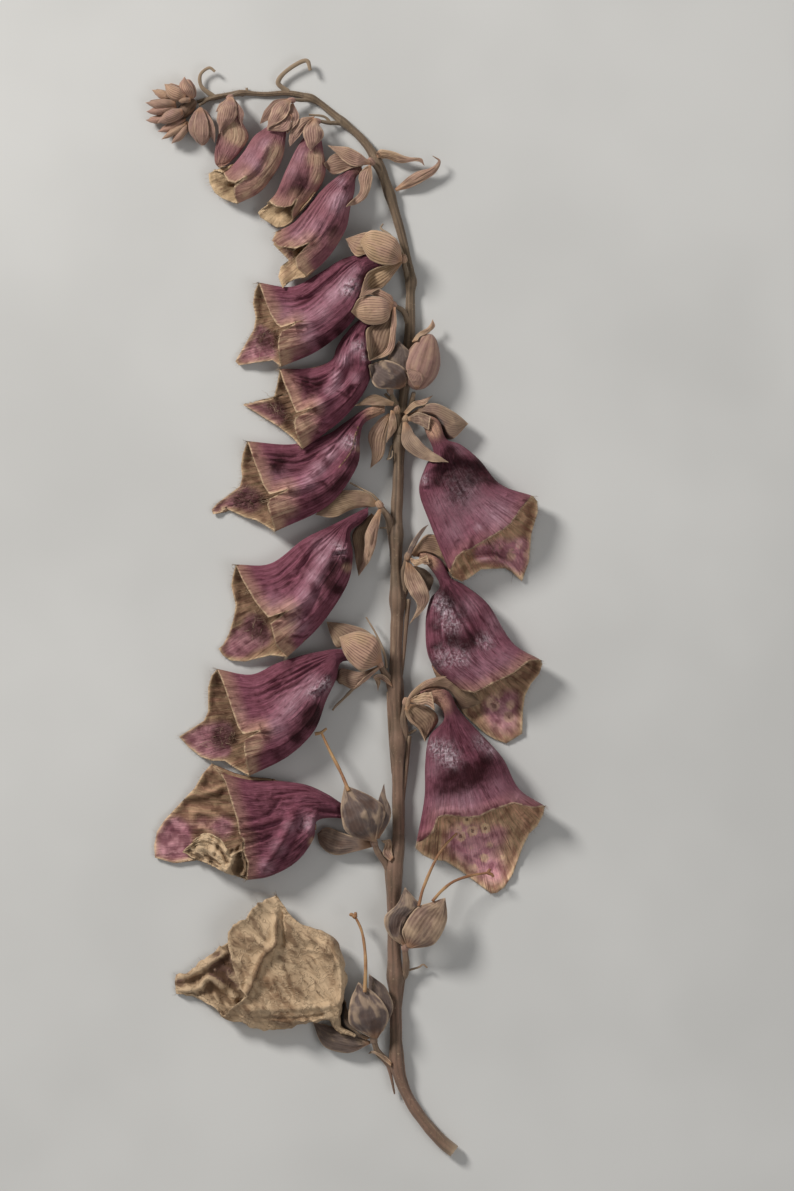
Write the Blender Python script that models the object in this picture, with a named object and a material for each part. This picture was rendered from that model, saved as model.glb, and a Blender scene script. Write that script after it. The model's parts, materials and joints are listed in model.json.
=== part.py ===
"""Dried foxglove flower spike, cut and lying on its side.

The spike lies in the XY plane with its weight on z = 0. +Y runs from the cut end to the arching
tip, +X to the right when it is looked down on, and +Z is up. Every table below is in millimetres,
in one plan of the spike seen from above. Each sub-part is one object with its origin where it
joins the plant.
"""

import math

import bmesh
import bpy
from mathutils import Vector
from mathutils.bvhtree import BVHTree

# Driving dimensions
SPIKE_LENGTH = 0.274  # from the cut end to the highest bract, in metres
PLAN_LENGTH = 274.0  # the same length in the plan's millimetres
MM = SPIKE_LENGTH / PLAN_LENGTH
PETAL_WALL = 0.7  # thickness of a corolla's wall
BLADE = 0.7  # thickness of a sepal or bract
GAP = 0.4  # clearance between two sub-parts
STEM_SIDES = 8
PEDICEL_SIDES = 5
RECEPTACLE = 1.8  # length of the swelling that the sepals grow from

COLOURS = {
    "stem": (0.30, 0.22, 0.16),
    "sepal": (0.42, 0.30, 0.22),
    "grey_sepal": (0.27, 0.22, 0.20),
    "bud": (0.45, 0.30, 0.25),
    "petal": (0.36, 0.16, 0.22),
    "young_petal": (0.42, 0.25, 0.25),
    "withered_petal": (0.56, 0.42, 0.26),
    "pistil": (0.45, 0.28, 0.16),
}

# The flowering stem from the cut end to the tip: (x, y, radius)
STEM = [
    (27.2, -135.3, 1.55), (24.0, -132.7, 1.5), (20.0, -128.1, 1.45), (17.0, -123.9, 1.4),
    (14.8, -119.6, 1.4), (13.2, -114.5, 1.65), (12.8, -109.0, 1.5), (12.7, -100.0, 1.5),
    (12.5, -90.0, 1.65), (12.2, -76.0, 1.6), (12.4, -65.0, 1.8), (13.3, -58.0, 1.6),
    (13.3, -45.0, 1.5), (13.2, -33.0, 1.7), (12.7, -20.0, 1.7), (12.8, -8.0, 1.5),
    (13.1, 2.0, 1.65), (12.8, 12.0, 1.45), (12.8, 21.0, 1.55), (13.3, 32.0, 1.35),
    (13.5, 41.0, 1.4), (14.2, 50.0, 1.2), (15.3, 59.0, 1.25), (16.1, 68.0, 1.35),
    (16.3, 78.0, 1.1), (16.4, 83.0, 1.05), (15.5, 88.0, 0.9), (14.0, 94.0, 1.05),
    (12.3, 100.0, 1.15), (10.7, 105.0, 1.2), (8.9, 110.0, 1.15), (6.2, 115.0, 1.0),
    (3.4, 118.4, 0.95), (0.0, 121.4, 0.9), (-3.5, 124.3, 0.85), (-6.8, 126.9, 0.8),
    (-10.0, 128.3, 0.75), (-14.5, 129.1, 0.7), (-20.0, 128.8, 0.6), (-25.5, 129.1, 0.6),
    (-29.5, 128.6, 0.6), (-33.5, 127.8, 0.5), (-37.0, 126.9, 0.45),
]

# Each flower's stalk, from inside the stem to its calyx: points (x, y, z), radius at the stem
PEDICELS = {
    "01": ([(12.9, -115.5, 1.6), (10.2, -112.6, 2.2), (8.2, -110.4, 3.4), (7.3, -107.6, 4.4)], 1.0),
    "02": ([(13.6, -93.5, 1.6), (14.9, -90.6, 2.2), (15.2, -87.8, 3.6), (15.0, -84.6, 4.6)], 1.0),
    "03": ([(12.2, -67.5, 1.6), (10.3, -63.8, 2.4), (8.3, -60.6, 3.8), (7.4, -58.4, 4.6)], 1.0),
    "04": ([(13.6, -35.5, 1.6), (14.9, -31.2, 2.2), (14.6, -27.2, 3.8), (15.2, -23.4, 4.8)], 1.0),
    "05": ([(12.2, -22.5, 1.6), (11.0, -18.0, 2.4), (9.9, -15.8, 4.0), (8.9, -13.9, 4.8)], 1.0),
    "06": ([(13.4, 0.5, 1.6), (14.9, 5.4, 2.2), (14.8, 9.6, 3.8), (15.6, 12.8, 4.8)], 1.0),
    "07": ([(12.4, 16.5, 1.5), (11.2, 20.2, 2.4), (10.6, 23.2, 4.2), (8.9, 25.7, 5.0)], 1.0),
    "08": ([(13.4, 40.0, 1.4), (13.8, 44.2, 2.8), (15.0, 47.0, 4.6)], 0.9),
    "09": ([(13.6, 43.0, 1.4), (13.5, 46.4, 2.6), (13.0, 49.4, 4.6)], 0.9),
    "10": ([(14.2, 46.6, 1.2), (16.3, 50.8, 2.4), (17.3, 54.2, 4.0)], 0.8),
    "11": ([(13.9, 48.0, 1.2), (12.6, 51.2, 3.4), (11.4, 54.2, 5.6)], 0.8),
    "12": ([(16.2, 71.0, 1.2), (14.6, 74.2, 3.0), (12.3, 75.8, 4.6)], 0.8),
    "13": ([(16.4, 80.0, 1.1), (15.2, 84.0, 2.2), (14.8, 87.0, 4.0)], 0.8),
    "14": ([(9.9, 107.0, 1.1), (8.2, 109.6, 2.4), (6.8, 111.3, 3.8)], 0.7),
    "15": ([(-0.5, 121.6, 0.8), (-3.4, 121.4, 2.2), (-6.6, 121.7, 3.4)], 0.6),
    "16": ([(-7.5, 127.3, 0.7), (-10.4, 127.2, 2.0), (-12.9, 127.0, 3.2)], 0.55),
    "17": ([(-25.5, 129.0, 0.6), (-27.4, 128.6, 1.8), (-28.4, 127.9, 3.0)], 0.55),
    "18": ([(-33.0, 127.8, 0.5), (-35.0, 126.8, 1.4), (-36.4, 125.6, 2.4)], 0.45),
}

# Bracts, the small leaves beside the stalks: centreline (x, y, z) from the stem, and full width
BRACTS = [
    ([(-32.5, 128.2, 0.6), (-35.6, 130.3, 1.2), (-36.4, 133.0, 1.6), (-34.6, 134.8, 1.9), (-32.3, 134.5, 2.2)], 1.2),
    ([(-13.0, 129.0, 0.8), (-16.4, 131.0, 1.3), (-15.6, 133.2, 1.7), (-10.6, 136.6, 2.2), (-8.6, 134.4, 2.6)], 1.7),
    ([(8.0, 112.8, 1.2), (9.2, 114.2, 1.8), (14.5, 113.0, 2.4), (19.4, 112.0, 2.6), (20.1, 110.7, 2.8)], 3.0),
    ([(11.2, 103.6, 1.2), (13.4, 105.2, 1.6), (18.4, 108.0, 2.2), (23.2, 110.2, 2.8), (21.9, 113.1, 3.4)], 3.0),
    ([(14.9, 90.0, 1.0), (13.0, 93.2, 3.2), (9.0, 95.3, 4.2)], 1.6),
    ([(16.2, 65.6, 1.2), (18.2, 68.6, 2.4), (20.4, 70.2, 3.0), (22.3, 72.5, 3.4)], 2.2),
    ([(14.2, 48.6, 1.2), (18.0, 52.0, 3.0), (22.0, 53.2, 4.0)], 1.6),
    ([(12.6, -19.5, 1.6), (9.2, -17.3, 2.0), (8.1, -17.9, 1.6), (8.2, -20.0, 1.2)], 2.0),
    ([(12.4, -63.5, 1.6), (10.2, -60.2, 2.0), (11.4, -58.2, 3.6), (10.6, -57.4, 4.4)], 2.2),
    ([(13.4, -91.8, 1.6), (16.4, -90.0, 2.0), (19.2, -88.8, 2.2), (20.5, -89.3, 2.4)], 1.1),
    ([(12.2, -113.6, 1.6), (8.6, -111.0, 1.6), (5.8, -110.3, 1.2)], 1.2),
    ([(13.6, -33.4, 1.6), (15.8, -31.4, 1.8), (17.6, -30.3, 1.8)], 1.0),
]

# Corollas. A station is one cross-section seen from above, as the two ends of its width, from the
# calyx to the mouth. "near" and "far" are the edges of the upper and the lower wall between the
# two ends of the last station. "lift" is the height of the first and second side at the mouth,
# "depth" half the bell's height there.
COROLLAS = {
    "01": dict(
        material="withered_petal", base=4.6, lift=(4.6, 4.4), depth=(5.2, 5.2),
        stations=[
            ((5.2, -105.6), (4.4, -107.0)), ((0.6, -103.6), (-0.4, -105.4)), ((-0.6, -99.0), (-4.6, -103.0)),
            ((0.5, -92.5), (-10.5, -103.6)), ((-2.4, -82.4), (-16.5, -104.7)), ((-12.6, -77.2), (-23.0, -104.2)),
            ((-17.2, -70.9), (-30.5, -101.3)),
        ],
        near=[(-22.3, -73.4), (-28.2, -78.6), (-28.6, -84.0), (-26.6, -91.5), (-24.3, -95.8), (-28.0, -98.8)],
        far=[(-24.6, -78.2), (-30.5, -83.9), (-36.5, -88.3), (-42.4, -92.5), (-41.7, -96.2), (-37.0, -97.2), (-33.5, -99.6)],
    ),
    "03": dict(
        material="petal", base=4.8, lift=(4.2, 4.4), depth=(4.4, 5.0),
        stations=[
            ((4.8, -52.0), (4.6, -54.0)), ((-1.2, -48.0), (-1.0, -52.0)), ((-4.5, -45.9), (-6.8, -52.6)),
            ((-9.5, -43.7), (-7.8, -57.2)), ((-16.0, -42.8), (-12.0, -62.8)), ((-24.0, -42.8), (-18.5, -66.4)),
            ((-30.5, -41.4), (-24.5, -67.4)),
        ],
        near=[(-28.9, -45.0), (-27.6, -50.0), (-25.6, -56.0), (-24.5, -61.0)],
        far=[(-33.2, -38.4), (-38.5, -45.6), (-45.0, -51.5), (-47.8, -57.5), (-47.0, -62.0), (-41.0, -63.3), (-33.0, -64.2)],
    ),
    "04": dict(
        material="petal", base=5.0, lift=(4.8, 5.2), depth=(5.8, 5.8),
        stations=[
            ((17.4, -22.9), (17.4, -21.0)), ((21.0, -22.9), (21.4, -19.7)), ((23.8, -24.4), (25.8, -20.4)),
            ((24.6, -27.6), (28.4, -25.0)), ((21.0, -31.8), (33.0, -30.0)), ((20.0, -38.4), (39.2, -36.8)),
            ((19.8, -47.0), (43.4, -44.6)), ((17.7, -58.6), (49.8, -48.9)),
        ],
        near=[(20.5, -56.1), (22.9, -53.4), (24.6, -51.2), (32.0, -51.7), (37.0, -49.4), (42.0, -48.1), (46.2, -49.3)],
        far=[(18.6, -60.9), (22.5, -62.7), (30.0, -66.3), (37.0, -71.1), (40.2, -69.0), (43.8, -62.5), (45.6, -56.2)],
    ),
    "05": dict(
        material="petal", base=5.0, lift=(3.6, 5.2), depth=(4.8, 5.2),
        stations=[
            ((6.4, -11.8), (6.2, -13.6)), ((-1.0, -9.9), (-0.6, -13.0)), ((-6.0, -10.4), (-2.2, -17.5)),
            ((-11.0, -11.5), (-4.6, -22.6)), ((-17.0, -13.4), (-7.6, -30.2)), ((-23.5, -16.2), (-14.2, -36.6)),
            ((-31.8, -14.8), (-23.7, -41.4)),
        ],
        near=[(-30.2, -18.5), (-28.6, -23.5), (-26.6, -29.0), (-24.8, -31.8), (-25.0, -34.5), (-24.4, -38.5)],
        far=[(-34.0, -18.5), (-34.0, -24.5), (-36.5, -28.4), (-41.5, -31.8), (-38.0, -35.0), (-33.0, -37.5), (-27.5, -39.3)],
    ),
    "06": dict(
        material="petal", base=5.0, lift=(3.4, 4.6), depth=(4.6, 4.8),
        stations=[
            ((17.6, 12.0), (17.8, 13.8)), ((19.8, 11.6), (20.6, 14.0)), ((22.2, 9.0), (24.2, 12.0)),
            ((23.6, 5.6), (26.4, 8.0)), ((21.2, 2.4), (30.0, 6.0)), ((20.1, -4.0), (35.8, 1.2)),
            ((21.4, -13.0), (41.8, -8.2)), ((29.0, -20.2), (48.9, -12.6)),
        ],
        near=[(32.3, -20.8), (36.0, -19.4), (40.0, -16.9), (43.5, -14.3), (46.2, -12.8)],
        far=[(30.6, -25.6), (35.0, -30.6), (40.2, -33.6), (44.1, -31.9), (44.4, -26.0), (45.2, -20.8), (48.4, -16.8)],
    ),
    "07": dict(
        material="petal", base=5.2, lift=(3.6, 5.2), depth=(4.8, 5.2),
        stations=[
            ((6.8, 26.0), (6.6, 24.2)), ((3.4, 24.4), (4.2, 21.6)), ((-0.5, 22.4), (1.4, 19.0)),
            ((-5.0, 20.2), (2.0, 13.5)), ((-10.5, 17.4), (0.6, 6.2)), ((-18.5, 11.5), (-5.8, -3.6)),
            ((-27.2, 11.2), (-14.2, -11.8)),
        ],
        near=[(-25.3, 7.0), (-22.3, 2.0), (-18.6, -2.8), (-18.2, -5.0), (-17.0, -9.0)],
        far=[(-28.3, 6.0), (-27.4, 1.5), (-29.0, -5.0), (-31.5, -9.8), (-28.5, -12.6), (-22.0, -12.9), (-18.0, -11.4)],
    ),
    "08": dict(
        material="petal", base=5.0, lift=(5.8, 4.8), depth=(5.2, 6.0),
        stations=[
            ((17.2, 46.3), (17.2, 48.1)), ((19.4, 45.6), (20.0, 48.5)), ((20.6, 43.0), (23.4, 47.0)),
            ((22.0, 39.2), (25.2, 42.6)), ((20.0, 35.4), (29.0, 41.0)), ((18.5, 29.5), (33.6, 37.2)),
            ((21.2, 21.4), (38.8, 31.2)), ((26.0, 9.4), (46.8, 28.3)),
        ],
        near=[(27.4, 12.2), (29.4, 14.4), (33.0, 16.2), (37.5, 19.0), (41.5, 22.4), (44.8, 26.4)],
        far=[(28.8, 7.2), (32.0, 8.4), (36.0, 10.0), (41.0, 9.7), (44.0, 7.3), (46.0, 12.0), (46.8, 19.5), (48.3, 25.5)],
    ),
    "09": dict(
        material="petal", base=5.6, lift=(3.2, 5.4), depth=(4.6, 5.2),
        stations=[
            ((10.8, 51.2), (10.6, 49.3)), ((8.2, 51.2), (8.2, 48.2)), ((4.0, 49.4), (4.8, 46.2)),
            ((0.0, 46.6), (3.8, 42.5)), ((-5.0, 43.4), (3.0, 35.5)), ((-13.5, 41.2), (-4.0, 26.0)),
            ((-24.3, 42.0), (-17.3, 19.4)),
        ],
        near=[(-22.6, 37.0), (-20.3, 31.0), (-18.4, 28.2), (-19.2, 26.0), (-18.3, 23.0)],
        far=[(-25.9, 38.0), (-25.8, 33.0), (-28.5, 29.6), (-33.0, 25.2), (-31.5, 23.6), (-27.5, 24.0), (-22.5, 22.2)],
    ),
    "12": dict(
        material="petal", base=4.8, lift=(3.6, 6.0), depth=(4.8, 5.4),
        stations=[
            ((9.6, 75.2), (10.2, 73.6)), ((4.4, 72.8), (6.4, 70.0)), ((0.2, 68.8), (6.6, 66.0)),
            ((-2.0, 65.4), (6.6, 61.5)), ((-3.6, 62.0), (5.6, 55.5)), ((-9.0, 60.2), (-0.5, 47.4)),
            ((-16.3, 60.0), (-10.5, 39.9)),
        ],
        near=[(-15.4, 57.0), (-13.7, 52.5), (-12.0, 48.8), (-12.6, 46.5), (-12.2, 44.0)],
        far=[(-16.9, 56.5), (-17.8, 52.8), (-21.5, 52.0), (-25.4, 51.1), (-23.0, 49.4), (-16.5, 45.6), (-13.0, 42.8)],
    ),
    "13": dict(
        material="petal", base=4.6, lift=(3.6, 5.6), depth=(4.8, 5.2),
        stations=[
            ((12.2, 87.8), (12.0, 86.0)), ((6.0, 88.3), (6.5, 84.6)), ((1.5, 88.0), (5.2, 81.0)),
            ((-3.5, 85.8), (3.8, 75.0)), ((-8.5, 82.4), (-0.5, 69.2)), ((-14.5, 80.4), (-8.0, 63.6)),
            ((-21.5, 81.5), (-15.8, 60.4)),
        ],
        near=[(-20.4, 78.0), (-19.0, 74.0), (-17.0, 70.6), (-15.9, 69.5), (-16.6, 67.0), (-16.6, 63.8)],
        far=[(-22.9, 77.5), (-22.4, 72.0), (-23.5, 68.0), (-27.3, 62.0), (-25.0, 61.0), (-20.5, 62.0)],
    ),
    "14": dict(
        material="petal", base=4.2, lift=(4.0, 5.4), depth=(3.8, 3.4),
        stations=[
            ((5.0, 111.0), (5.2, 109.4)), ((1.8, 110.2), (2.9, 107.8)), ((-2.0, 107.8), (2.4, 104.0)),
            ((-5.5, 104.8), (1.4, 100.0)), ((-9.0, 100.8), (0.2, 94.5)), ((-12.8, 96.4), (-3.8, 88.0)),
            ((-17.0, 94.2), (-9.3, 82.7)),
        ],
        near=[(-18.3, 91.8), (-16.5, 89.9), (-12.9, 89.2), (-12.2, 87.2), (-11.9, 84.8)],
        far=[(-18.0, 91.2), (-15.9, 88.4), (-14.8, 86.4), (-16.6, 84.4), (-15.6, 80.1), (-13.2, 82.0)],
    ),
    "15": dict(
        material="petal", base=3.8, lift=(3.4, 3.0), depth=(3.2, 2.8),
        stations=[
            ((-8.0, 120.2), (-6.4, 119.8)), ((-10.0, 117.6), (-5.8, 116.6)), ((-12.6, 114.4), (-4.9, 112.5)),
            ((-14.4, 110.0), (-5.0, 108.3)), ((-16.2, 105.8), (-6.8, 104.2)), ((-17.8, 103.2), (-10.0, 100.2)),
            ((-18.9, 101.8), (-12.9, 97.0)),
        ],
        near=[(-17.4, 100.7), (-14.8, 99.9), (-13.4, 100.2), (-13.6, 98.4)],
        far=[(-19.6, 100.0), (-21.5, 98.9), (-20.4, 97.0), (-17.2, 95.2), (-14.8, 95.6)],
    ),
    "16": dict(
        material="petal", base=3.6, lift=(3.6, 3.2), depth=(3.2, 2.8),
        stations=[
            ((-14.8, 126.0), (-14.0, 124.6)), ((-18.0, 121.6), (-14.6, 119.2)), ((-21.4, 119.2), (-15.2, 114.2)),
            ((-23.8, 116.0), (-16.4, 110.6)), ((-26.2, 112.9), (-18.8, 106.8)), ((-28.4, 110.3), (-22.0, 103.4)),
            ((-30.2, 108.8), (-26.6, 101.2)),
        ],
        near=[(-29.3, 106.9), (-27.7, 106.0), (-27.2, 105.2), (-28.0, 103.6)],
        far=[(-32.6, 109.3), (-34.1, 108.1), (-33.0, 104.9), (-30.0, 102.3), (-28.2, 101.7)],
    ),
    "17": dict(
        material="young_petal", base=3.4, lift=(2.6, 2.6), depth=(1.6, 1.6), closed=True,
        stations=[
            ((-29.2, 125.8), (-27.4, 125.8)), ((-30.6, 122.0), (-26.0, 122.4)), ((-31.6, 118.5), (-24.2, 119.2)),
            ((-32.2, 115.6), (-24.6, 116.2)), ((-32.6, 113.2), (-26.8, 113.4)), ((-32.3, 111.2), (-28.8, 111.4)),
            ((-31.4, 110.1), (-30.2, 110.2)),
        ],
        near=[(-31.0, 110.0), (-30.6, 110.0)],
        far=[(-31.0, 110.0), (-30.6, 110.0)],
    ),
}

# The lowest bells come first, and each later one lies over those before it
LAYERS = ["01", "03", "05", "07", "09", "12", "13", "14", "15", "16", "17", "06", "04", "08"]

# Sepals by flower: centreline (x, y, z) from the calyx to the tip, full width, and whether the
# blade lies over its corolla or is tucked under it
SEPALS = {
    "01": [
        ([(7.0, -106.6, 5.2), (4.0, -101.0, 7.0), (3.4, -96.0, 7.2), (3.2, -92.7, 6.6)], 6.0, "over"),
        ([(7.4, -106.6, 5.0), (9.2, -100.5, 6.2), (8.8, -95.0, 6.4), (6.4, -90.7, 6.0)], 6.0, "over"),
        ([(6.4, -107.8, 4.4), (1.0, -107.4, 3.2), (-4.0, -106.2, 2.4), (-8.0, -103.2, 2.0)], 6.6, "under"),
    ],
    "02": [
        ([(14.6, -83.6, 5.6), (12.4, -79.0, 7.2), (12.6, -75.0, 7.6), (15.0, -69.0, 7.0)], 5.4, "over"),
        ([(15.2, -83.4, 5.4), (16.8, -79.0, 6.4), (17.3, -75.5, 6.6), (17.2, -70.9, 6.2)], 4.8, "over"),
        ([(16.0, -83.6, 5.4), (21.0, -81.0, 6.4), (23.4, -77.0, 6.8), (25.3, -71.7, 6.2)], 6.6, "over"),
        ([(15.2, -83.2, 4.8), (19.0, -79.0, 4.4), (20.6, -75.5, 4.2), (20.4, -72.6, 4.0)], 5.4, "over"),
    ],
    "03": [
        ([(7.0, -57.0, 5.8), (3.4, -53.0, 7.4), (1.2, -48.5, 7.8), (0.2, -43.8, 7.2)], 6.0, "over"),
        ([(7.6, -57.0, 5.6), (8.4, -52.0, 7.0), (8.8, -48.0, 7.2), (9.8, -43.2, 7.0)], 5.6, "over"),
        ([(7.0, -57.0, 5.4), (5.6, -52.0, 6.4), (4.8, -48.6, 6.6), (4.6, -45.4, 6.2)], 5.6, "over"),
        ([(6.8, -58.2, 4.4), (1.6, -57.6, 2.8), (-3.6, -57.2, 2.2), (-6.8, -54.6, 2.0)], 7.6, "under"),
    ],
    "04": [
        ([(15.8, -22.6, 5.8), (20.0, -19.4, 8.0), (26.0, -20.2, 8.6), (33.8, -23.6, 8.4)], 5.6, "over"),
        ([(15.4, -23.2, 5.6), (16.2, -26.4, 7.0), (17.8, -29.4, 7.6), (20.0, -32.6, 7.0)], 4.4, "over"),
        ([(16.0, -22.8, 6.0), (19.4, -22.6, 8.0), (22.4, -24.0, 8.4), (24.2, -27.8, 8.0)], 4.4, "over"),
        ([(15.6, -22.0, 4.6), (18.4, -19.0, 4.2), (22.0, -17.6, 3.6), (25.4, -16.8, 3.4)], 3.4, "over"),
    ],
    "05": [
        ([(8.0, -13.0, 6.0), (5.6, -10.4, 7.6), (2.4, -9.2, 8.0), (-1.6, -7.2, 7.4)], 8.2, "over"),
        ([(7.6, -12.6, 4.8), (5.4, -7.8, 4.0), (1.0, -5.0, 3.4), (-4.6, -3.4, 3.0)], 4.4, "under"),
        ([(8.0, -14.2, 4.8), (5.0, -16.6, 3.8), (1.6, -17.4, 3.0), (-2.4, -16.6, 2.4)], 4.2, "under"),
    ],
    "06": [
        ([(16.2, 13.0, 5.8), (19.4, 15.6, 7.0), (23.0, 15.8, 7.0), (26.6, 13.2, 6.6)], 5.2, "over"),
        ([(15.8, 12.4, 5.6), (17.2, 7.0, 7.4), (19.4, 3.0, 8.0), (18.4, -1.0, 7.0), (16.4, -4.4, 6.2)], 4.8, "over"),
        ([(16.0, 13.4, 5.0), (17.4, 16.6, 4.6), (19.0, 19.0, 4.4), (21.0, 21.2, 4.2)], 1.8, "over"),
    ],
    "07": [
        ([(8.2, 25.8, 6.0), (4.4, 27.0, 7.0), (-0.4, 26.6, 7.4), (-6.0, 24.0, 6.6)], 6.0, "over"),
        ([(8.4, 25.0, 6.0), (7.4, 21.0, 7.4), (6.8, 17.0, 7.6), (6.4, 13.0, 7.0)], 3.8, "over"),
        ([(7.8, 24.6, 4.6), (5.4, 19.0, 3.0), (4.4, 14.0, 2.2), (3.6, 8.6, 2.0)], 4.4, "under"),
    ],
    "08": [
        ([(16.0, 47.8, 5.8), (21.0, 48.8, 7.0), (26.0, 47.6, 7.2), (30.8, 46.4, 6.6)], 6.0, "over"),
        ([(15.6, 46.8, 5.6), (16.0, 42.4, 7.4), (19.4, 38.8, 9.0), (25.4, 36.8, 9.8)], 4.2, "over"),
        ([(16.4, 47.2, 6.0), (19.6, 46.6, 7.6), (22.4, 44.6, 8.0), (24.6, 42.8, 7.8)], 3.4, "over"),
    ],
    "09": [
        ([(12.0, 50.2, 6.6), (8.6, 51.4, 7.6), (5.6, 51.4, 7.8), (2.8, 50.6, 7.4)], 3.4, "over"),
        ([(12.0, 49.0, 6.4), (10.8, 46.4, 7.6), (10.6, 44.0, 7.4), (10.4, 41.8, 7.0)], 3.4, "over"),
        ([(11.4, 48.6, 5.2), (9.4, 44.4, 4.8), (8.2, 40.0, 4.2), (6.4, 35.0, 3.8)], 4.6, "over"),
    ],
    "11": [
        ([(11.4, 55.4, 6.4), (9.4, 57.6, 7.0), (9.4, 61.0, 7.0), (12.8, 66.6, 6.6)], 6.0, "over"),
        ([(12.0, 55.4, 6.4), (13.2, 59.0, 7.4), (14.0, 62.5, 7.6), (14.8, 66.2, 7.0)], 5.6, "over"),
        ([(11.4, 55.0, 5.6), (10.0, 56.6, 5.4), (7.8, 58.0, 5.0), (6.0, 59.4, 4.6)], 2.6, "over"),
    ],
    "12": [
        ([(11.4, 75.4, 5.8), (8.6, 74.8, 7.4), (5.6, 74.4, 7.8), (2.0, 72.8, 7.2)], 6.8, "over"),
        ([(11.6, 75.6, 5.0), (10.6, 77.8, 5.0), (8.6, 78.6, 4.8), (6.6, 79.0, 4.6)], 2.4, "over"),
        ([(11.4, 74.4, 5.4), (10.6, 69.8, 7.0), (9.4, 65.6, 7.2), (7.0, 61.6, 6.8)], 6.4, "over"),
    ],
    "13": [
        ([(14.0, 88.0, 5.8), (11.0, 89.8, 7.6), (7.8, 90.2, 8.0), (4.0, 91.0, 7.4)], 8.0, "over"),
        ([(13.6, 88.4, 4.8), (9.0, 91.4, 5.0), (4.6, 91.2, 4.8), (0.0, 91.8, 4.4)], 4.6, "over"),
        ([(13.8, 87.0, 4.6), (10.8, 82.8, 4.2), (7.0, 80.0, 3.6), (3.0, 77.6, 3.4)], 3.2, "over"),
    ],
    "14": [
        ([(6.2, 111.6, 5.0), (3.0, 112.4, 6.0), (-0.4, 113.4, 6.2), (-4.2, 115.4, 5.6)], 3.6, "over"),
        ([(6.0, 110.6, 5.0), (5.6, 106.4, 6.4), (4.2, 103.2, 6.6), (1.2, 100.2, 6.0)], 2.8, "over"),
        ([(5.4, 111.0, 4.6), (1.6, 111.0, 5.2), (-2.0, 110.4, 5.0), (-5.4, 111.8, 4.6)], 3.4, "over"),
    ],
    "15": [
        ([(-7.4, 122.0, 4.4), (-10.6, 120.4, 5.6), (-12.6, 117.8, 5.8), (-13.8, 114.3, 5.4)], 4.0, "over"),
        ([(-6.8, 121.6, 4.4), (-6.4, 119.4, 5.8), (-7.0, 117.0, 6.0), (-8.0, 114.2, 5.6)], 4.0, "over"),
        ([(-7.2, 122.2, 3.4), (-9.6, 122.2, 2.8), (-12.0, 120.8, 2.2), (-14.4, 118.4, 2.0)], 2.0, "under"),
    ],
    "16": [
        ([(-13.8, 126.6, 4.2), (-16.0, 124.8, 5.4), (-17.4, 122.4, 5.6), (-19.0, 119.0, 5.2)], 4.0, "over"),
        ([(-13.4, 126.2, 4.2), (-13.4, 123.6, 5.6), (-13.8, 121.0, 5.8), (-14.2, 118.4, 5.4)], 4.0, "over"),
        ([(-13.8, 127.0, 3.4), (-16.6, 126.4, 2.6), (-19.0, 124.4, 2.2), (-21.0, 121.4, 2.0)], 2.6, "under"),
    ],
    "17": [
        ([(-28.8, 127.2, 3.6), (-29.4, 125.0, 5.0), (-29.6, 122.6, 5.2), (-29.4, 120.0, 4.8)], 3.0, "over"),
        ([(-28.2, 127.2, 3.6), (-26.8, 124.8, 5.0), (-26.2, 122.6, 5.2), (-26.8, 120.0, 4.8)], 3.0, "over"),
        ([(-28.8, 127.4, 3.0), (-30.2, 126.6, 2.8), (-31.4, 125.6, 2.6), (-32.4, 124.6, 2.4)], 1.6, "over"),
    ],
}

# Closed bodies: ends (x, y, z) of the axis, and its greatest radii across and up
CAPSULE = ((17.9, 55.6, 4.4), (21.6, 68.0, 4.4), 4.3, 3.6)
CAPSULE_SEPALS = [
    ([(17.9, 55.8, 6.4), (17.4, 59.0, 8.6), (18.0, 62.5, 8.8), (20.2, 66.6, 7.0)], 4.2),
    ([(18.2, 55.8, 6.4), (21.6, 58.6, 8.4), (22.8, 62.0, 8.2), (22.2, 66.8, 6.4)], 4.0),
]
BUD = ((-36.3, 124.6, 3.0), (-35.8, 115.8, 2.8), 3.0, 2.3)
BUD_SEPALS = [
    ([(-36.6, 124.6, 4.0), (-38.2, 122.0, 5.0), (-38.4, 119.6, 4.8), (-37.6, 117.4, 4.2)], 2.6),
    ([(-36.0, 124.6, 4.0), (-34.2, 121.8, 5.0), (-33.2, 119.2, 4.6), (-32.5, 116.7, 4.0)], 2.4),
]

# The crowded buds at the tip: base (x, y, z), tip, and full width
TIP_CORE = ((-38.4, 126.6, 2.2), (-42.6, 121.8, 2.2), 2.2, 1.9)
TIP_BUDS = [
    ((-39.0, 126.2, 2.6), (-45.0, 130.7, 3.4), 3.0),
    ((-38.4, 126.6, 2.4), (-40.0, 132.6, 2.8), 2.4),
    ((-40.6, 125.6, 3.2), (-48.1, 129.4, 4.4), 2.2),
    ((-40.6, 125.2, 2.2), (-49.6, 126.4, 2.0), 2.5),
    ((-40.8, 124.6, 3.4), (-49.4, 124.2, 4.4), 2.2),
    ((-41.0, 123.8, 2.2), (-49.7, 122.2, 1.8), 2.2),
    ((-40.8, 123.6, 3.2), (-46.7, 120.6, 4.2), 3.0),
    ((-40.8, 122.8, 2.2), (-46.8, 118.8, 2.0), 2.2),
    ((-41.0, 122.4, 3.0), (-45.6, 117.2, 3.4), 2.0),
    ((-41.2, 122.4, 2.0), (-43.2, 116.3, 2.0), 2.0),
]

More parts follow.
